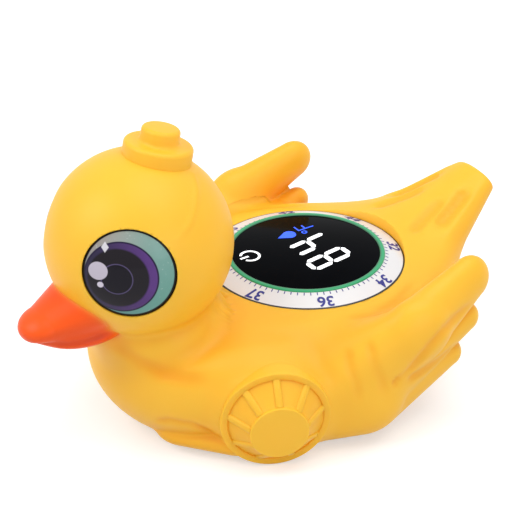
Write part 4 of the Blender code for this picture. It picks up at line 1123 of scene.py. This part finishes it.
def makeMarks():
    bm = bmesh.new()
    place = readingPlace(-4.8, -11.0)
    plate(bm, arc(2.0, 0.27, 122.0, 418.0), place)
    plate(bm, [(-0.27, 0.4), (0.27, 0.4), (0.27, 2.45), (-0.27, 2.45)], place)
    dress(cleaned("powerMark", bm, smooth=False), whiteLight, "white_film")
    bm = bmesh.new()
    # a drop, and the degree sign with its letter
    drop = [(0.0, 2.3)]
    for turn in np.radians(np.linspace(35.0, -215.0, 25)):
        drop.append((1.45 * math.cos(turn), 1.45 * math.sin(turn) - 0.7))
    plate(bm, drop, readingPlace(-7.75, 0.5))
    place = readingPlace(-8.3, 5.7)
    plate(bm, arc(0.5, 0.15, 0.0, 352.0), place @ Matrix.Translation((-1.45 * mm, 1.2 * mm, 0.0)))
    for outline in ([(-0.4, -2.0), (-0.05, -2.0), (-0.05, 2.0), (-0.4, 2.0)],
                    [(-0.04, 1.65), (1.6, 1.65), (1.6, 2.0), (-0.04, 2.0)],
                    [(-0.04, -0.1), (1.3, -0.1), (1.3, 0.25), (-0.04, 0.25)]):
        plate(bm, outline, place)
    dress(cleaned("blueMarks", bm, smooth=False), blueLight, "white_film")


makeDigits()
makeMarks()
print("display done")


# finishes of the CAD pieces that stay

def plasticMaterial(name, colour, second, roughness, grainScale, grain):
    material, desk, shader = finish(name, colour, roughness)
    place = desk.objectPlace()
    cloud = desk.noise(place, 80.0)
    fine = desk.noise(place, grainScale, 3.0)
    desk.feed(shader["Base Color"], desk.mix(cloud, colour, second))
    desk.feed(shader["Roughness"], roughness - 0.05 + fine * 0.1)
    desk.feed(shader["Normal"], desk.bump(fine, grain, 0.00005))
    return material


def metalMaterial(name, colour, second, roughness):
    material, desk, shader = finish(name, colour, roughness, Metallic=1.0)
    place = desk.objectPlace()
    stretched = desk.node("ShaderNodeMapping", None, place, Scale=(1.0, 1.0, 14.0))
    lines = desk.noise(stretched, 900.0, 3.0)
    desk.feed(shader["Base Color"], desk.mix(lines, colour, second))
    desk.feed(shader["Roughness"], roughness - 0.06 + lines * 0.12)
    return material


def laminateMaterial():
    # solder mask with copper traces showing through as paler lines
    material, desk, shader = finish("greenLaminate", (0.02, 0.16, 0.07), 0.4)
    place = desk.objectPlace()
    kind = {"feature": "DISTANCE_TO_EDGE", "distance": "EUCLIDEAN"}
    traces = desk.node("ShaderNodeTexVoronoi", kind, Vector=place, Scale=420.0)
    line = traces.below(0.06, 0.02)
    desk.feed(shader["Base Color"], desk.mix(line, (0.012, 0.11, 0.045), (0.03, 0.22, 0.09)))
    desk.feed(shader["Normal"], desk.bump(line, 0.3, 0.00003))
    return material


# name, two colours, roughness, then the scale and the strength of a plastic's grain
plastics = {
    "ivory_plastic": ("ivoryPlastic", (0.78, 0.76, 0.7), (0.83, 0.81, 0.76), 0.42, 1800.0, 0.2),
    "black_plastic": ("blackPlastic", (0.016, 0.016, 0.018), (0.03, 0.03, 0.033), 0.5, 1500.0, 0.3),
    "black_epoxy": ("blackEpoxy", (0.014, 0.014, 0.016), (0.024, 0.024, 0.027), 0.35, 2200.0, 0.2),
    "black_rubber": ("blackRubber", (0.016, 0.016, 0.016), (0.03, 0.03, 0.03), 0.75, 1600.0, 0.3),
    "white_film": ("whiteChip", (0.82, 0.83, 0.8), (0.88, 0.88, 0.84), 0.35, 2200.0, 0.1),
}
metals = {
    "stainless_steel": ("stainlessSteel", (0.52, 0.52, 0.53), (0.66, 0.66, 0.67), 0.26),
    "nickel": ("nickelPlate", (0.56, 0.53, 0.48), (0.7, 0.67, 0.61), 0.28),
}
cadFinishes = {slot: plasticMaterial(*look) for slot, look in plastics.items()}
cadFinishes.update({slot: metalMaterial(*look) for slot, look in metals.items()})
cadFinishes["green_laminate"] = laminateMaterial()
slotOf = {entry["node"]: entry["material_slot"] for entry in frame["record"]["subparts"]}
for name, node in frame["nodes"].items():
    if slotOf[name] in cadFinishes:
        for holder in node.material_slots:
            holder.material = cadFinishes[slotOf[name]]
print("CAD pieces dressed")

# floor, light and camera

# each lamp: its place, its size and its power
studio = {"floorColour": (0.68, 0.7, 0.73), "floorGlow": 0.46, "worldStrength": 0.6,
          "key": ((-0.25, -0.75, 0.75), 0.6, 4.3), "top": ((0.15, 0.2, 1.0), 0.8, 4.5),
          "side": ((1.1, 0.1, 0.45), 0.6, 2.2)}


def lookedAt(desk):
    # 1 for the rays that show the background, 0 for those that light the duck
    path = desk.tree.nodes.new("ShaderNodeLightPath")
    camera, glossy, clear = [
        Wire(desk, path.outputs[f"Is {kind} Ray"]) for kind in ("Camera", "Glossy", "Transmission")]
    return camera.maths("MAXIMUM", glossy).maths("MAXIMUM", clear)


def makeFloor():
    bm = bmesh.new()
    bmesh.ops.create_grid(bm, x_segments=1, y_segments=1, size=3.0)
    floor = cleaned("floor", bm, Matrix.Translation((0.0, 0.0, -0.00005)), smooth=False)
    if floor.data.polygons[0].normal.z < 0.0:
        floor.data.flip_normals()
    material = bpy.data.materials.new("paleFloor")
    material.use_nodes = True
    material.node_tree.nodes.clear()
    desk = Desk(material.node_tree)
    diffuse = desk.node("ShaderNodeBsdfDiffuse", None, studio["floorColour"])
    strength = lookedAt(desk) * studio["floorGlow"]
    glow = desk.node("ShaderNodeEmission", None, (1.0, 1.0, 1.0), strength)
    both = desk.node("ShaderNodeAddShader", None, diffuse, glow)
    leave = desk.tree.nodes.new("ShaderNodeOutputMaterial")
    desk.tree.links.new(both.socket, leave.inputs[0])
    floor.data.materials.append(material)


def makeLights():
    world = bpy.data.worlds.new("studio")
    bpy.context.scene.world = world
    world.use_nodes = True
    world.node_tree.nodes.clear()
    desk = Desk(world.node_tree)
    strength = studio["worldStrength"] + lookedAt(desk) * (1.0 - studio["worldStrength"])
    sky = desk.node("ShaderNodeBackground", None, (1.0, 1.0, 1.0), strength)
    leave = desk.tree.nodes.new("ShaderNodeOutputWorld")
    desk.tree.links.new(sky.socket, leave.inputs[0])
    for name in ("key", "top", "side"):
        place, size, power = studio[name]
        lamp = bpy.data.lights.new(name + "Light", "AREA")
        lamp.shape = "SQUARE"
        lamp.size = size
        lamp.energy = power
        holder = link(name + "Light", lamp)
        holder.location = place
        aim = Vector((0.0, 0.0, 0.03)) - Vector(place)
        holder.rotation_euler = aim.to_track_quat("-Z", "Y").to_euler()


view = {"azimuth": 56.0, "elevation": 30.0, "distance": 426.0, "focal": 2000.0, "size": 522.0,
        "displayPixel": (305.5, 251.0)}


def makeCamera():
    back = Vector(bearing(view["azimuth"], view["elevation"]))
    right = Vector(bearing(view["azimuth"] + 90.0, 0.0))
    above = back.cross(right)
    middle = 0.5 * view["size"]
    scale = view["distance"] / view["focal"]
    target = Vector((0.0, 0.0, panel["top"]))
    target -= right * ((view["displayPixel"][0] - middle) * scale)
    target += above * ((view["displayPixel"][1] - middle) * scale)
    camera = bpy.data.cameras.new("camera")
    camera.sensor_width = 36.0
    camera.lens = view["focal"] * 36.0 / view["size"]
    camera.clip_start = 0.01
    camera.clip_end = 20.0
    holder = link("camera", camera)
    holder.location = (target + back * view["distance"]) * mm + Vector((0.0, displayY, 0.0))
    holder.rotation_euler = (-back).to_track_quat("-Z", "Y").to_euler()
    bpy.context.scene.camera = holder


makeFloor()
makeLights()
makeCamera()
bpy.context.scene.view_settings.view_transform = "Standard"
print("studio done")

bpy.context.view_layer.update()
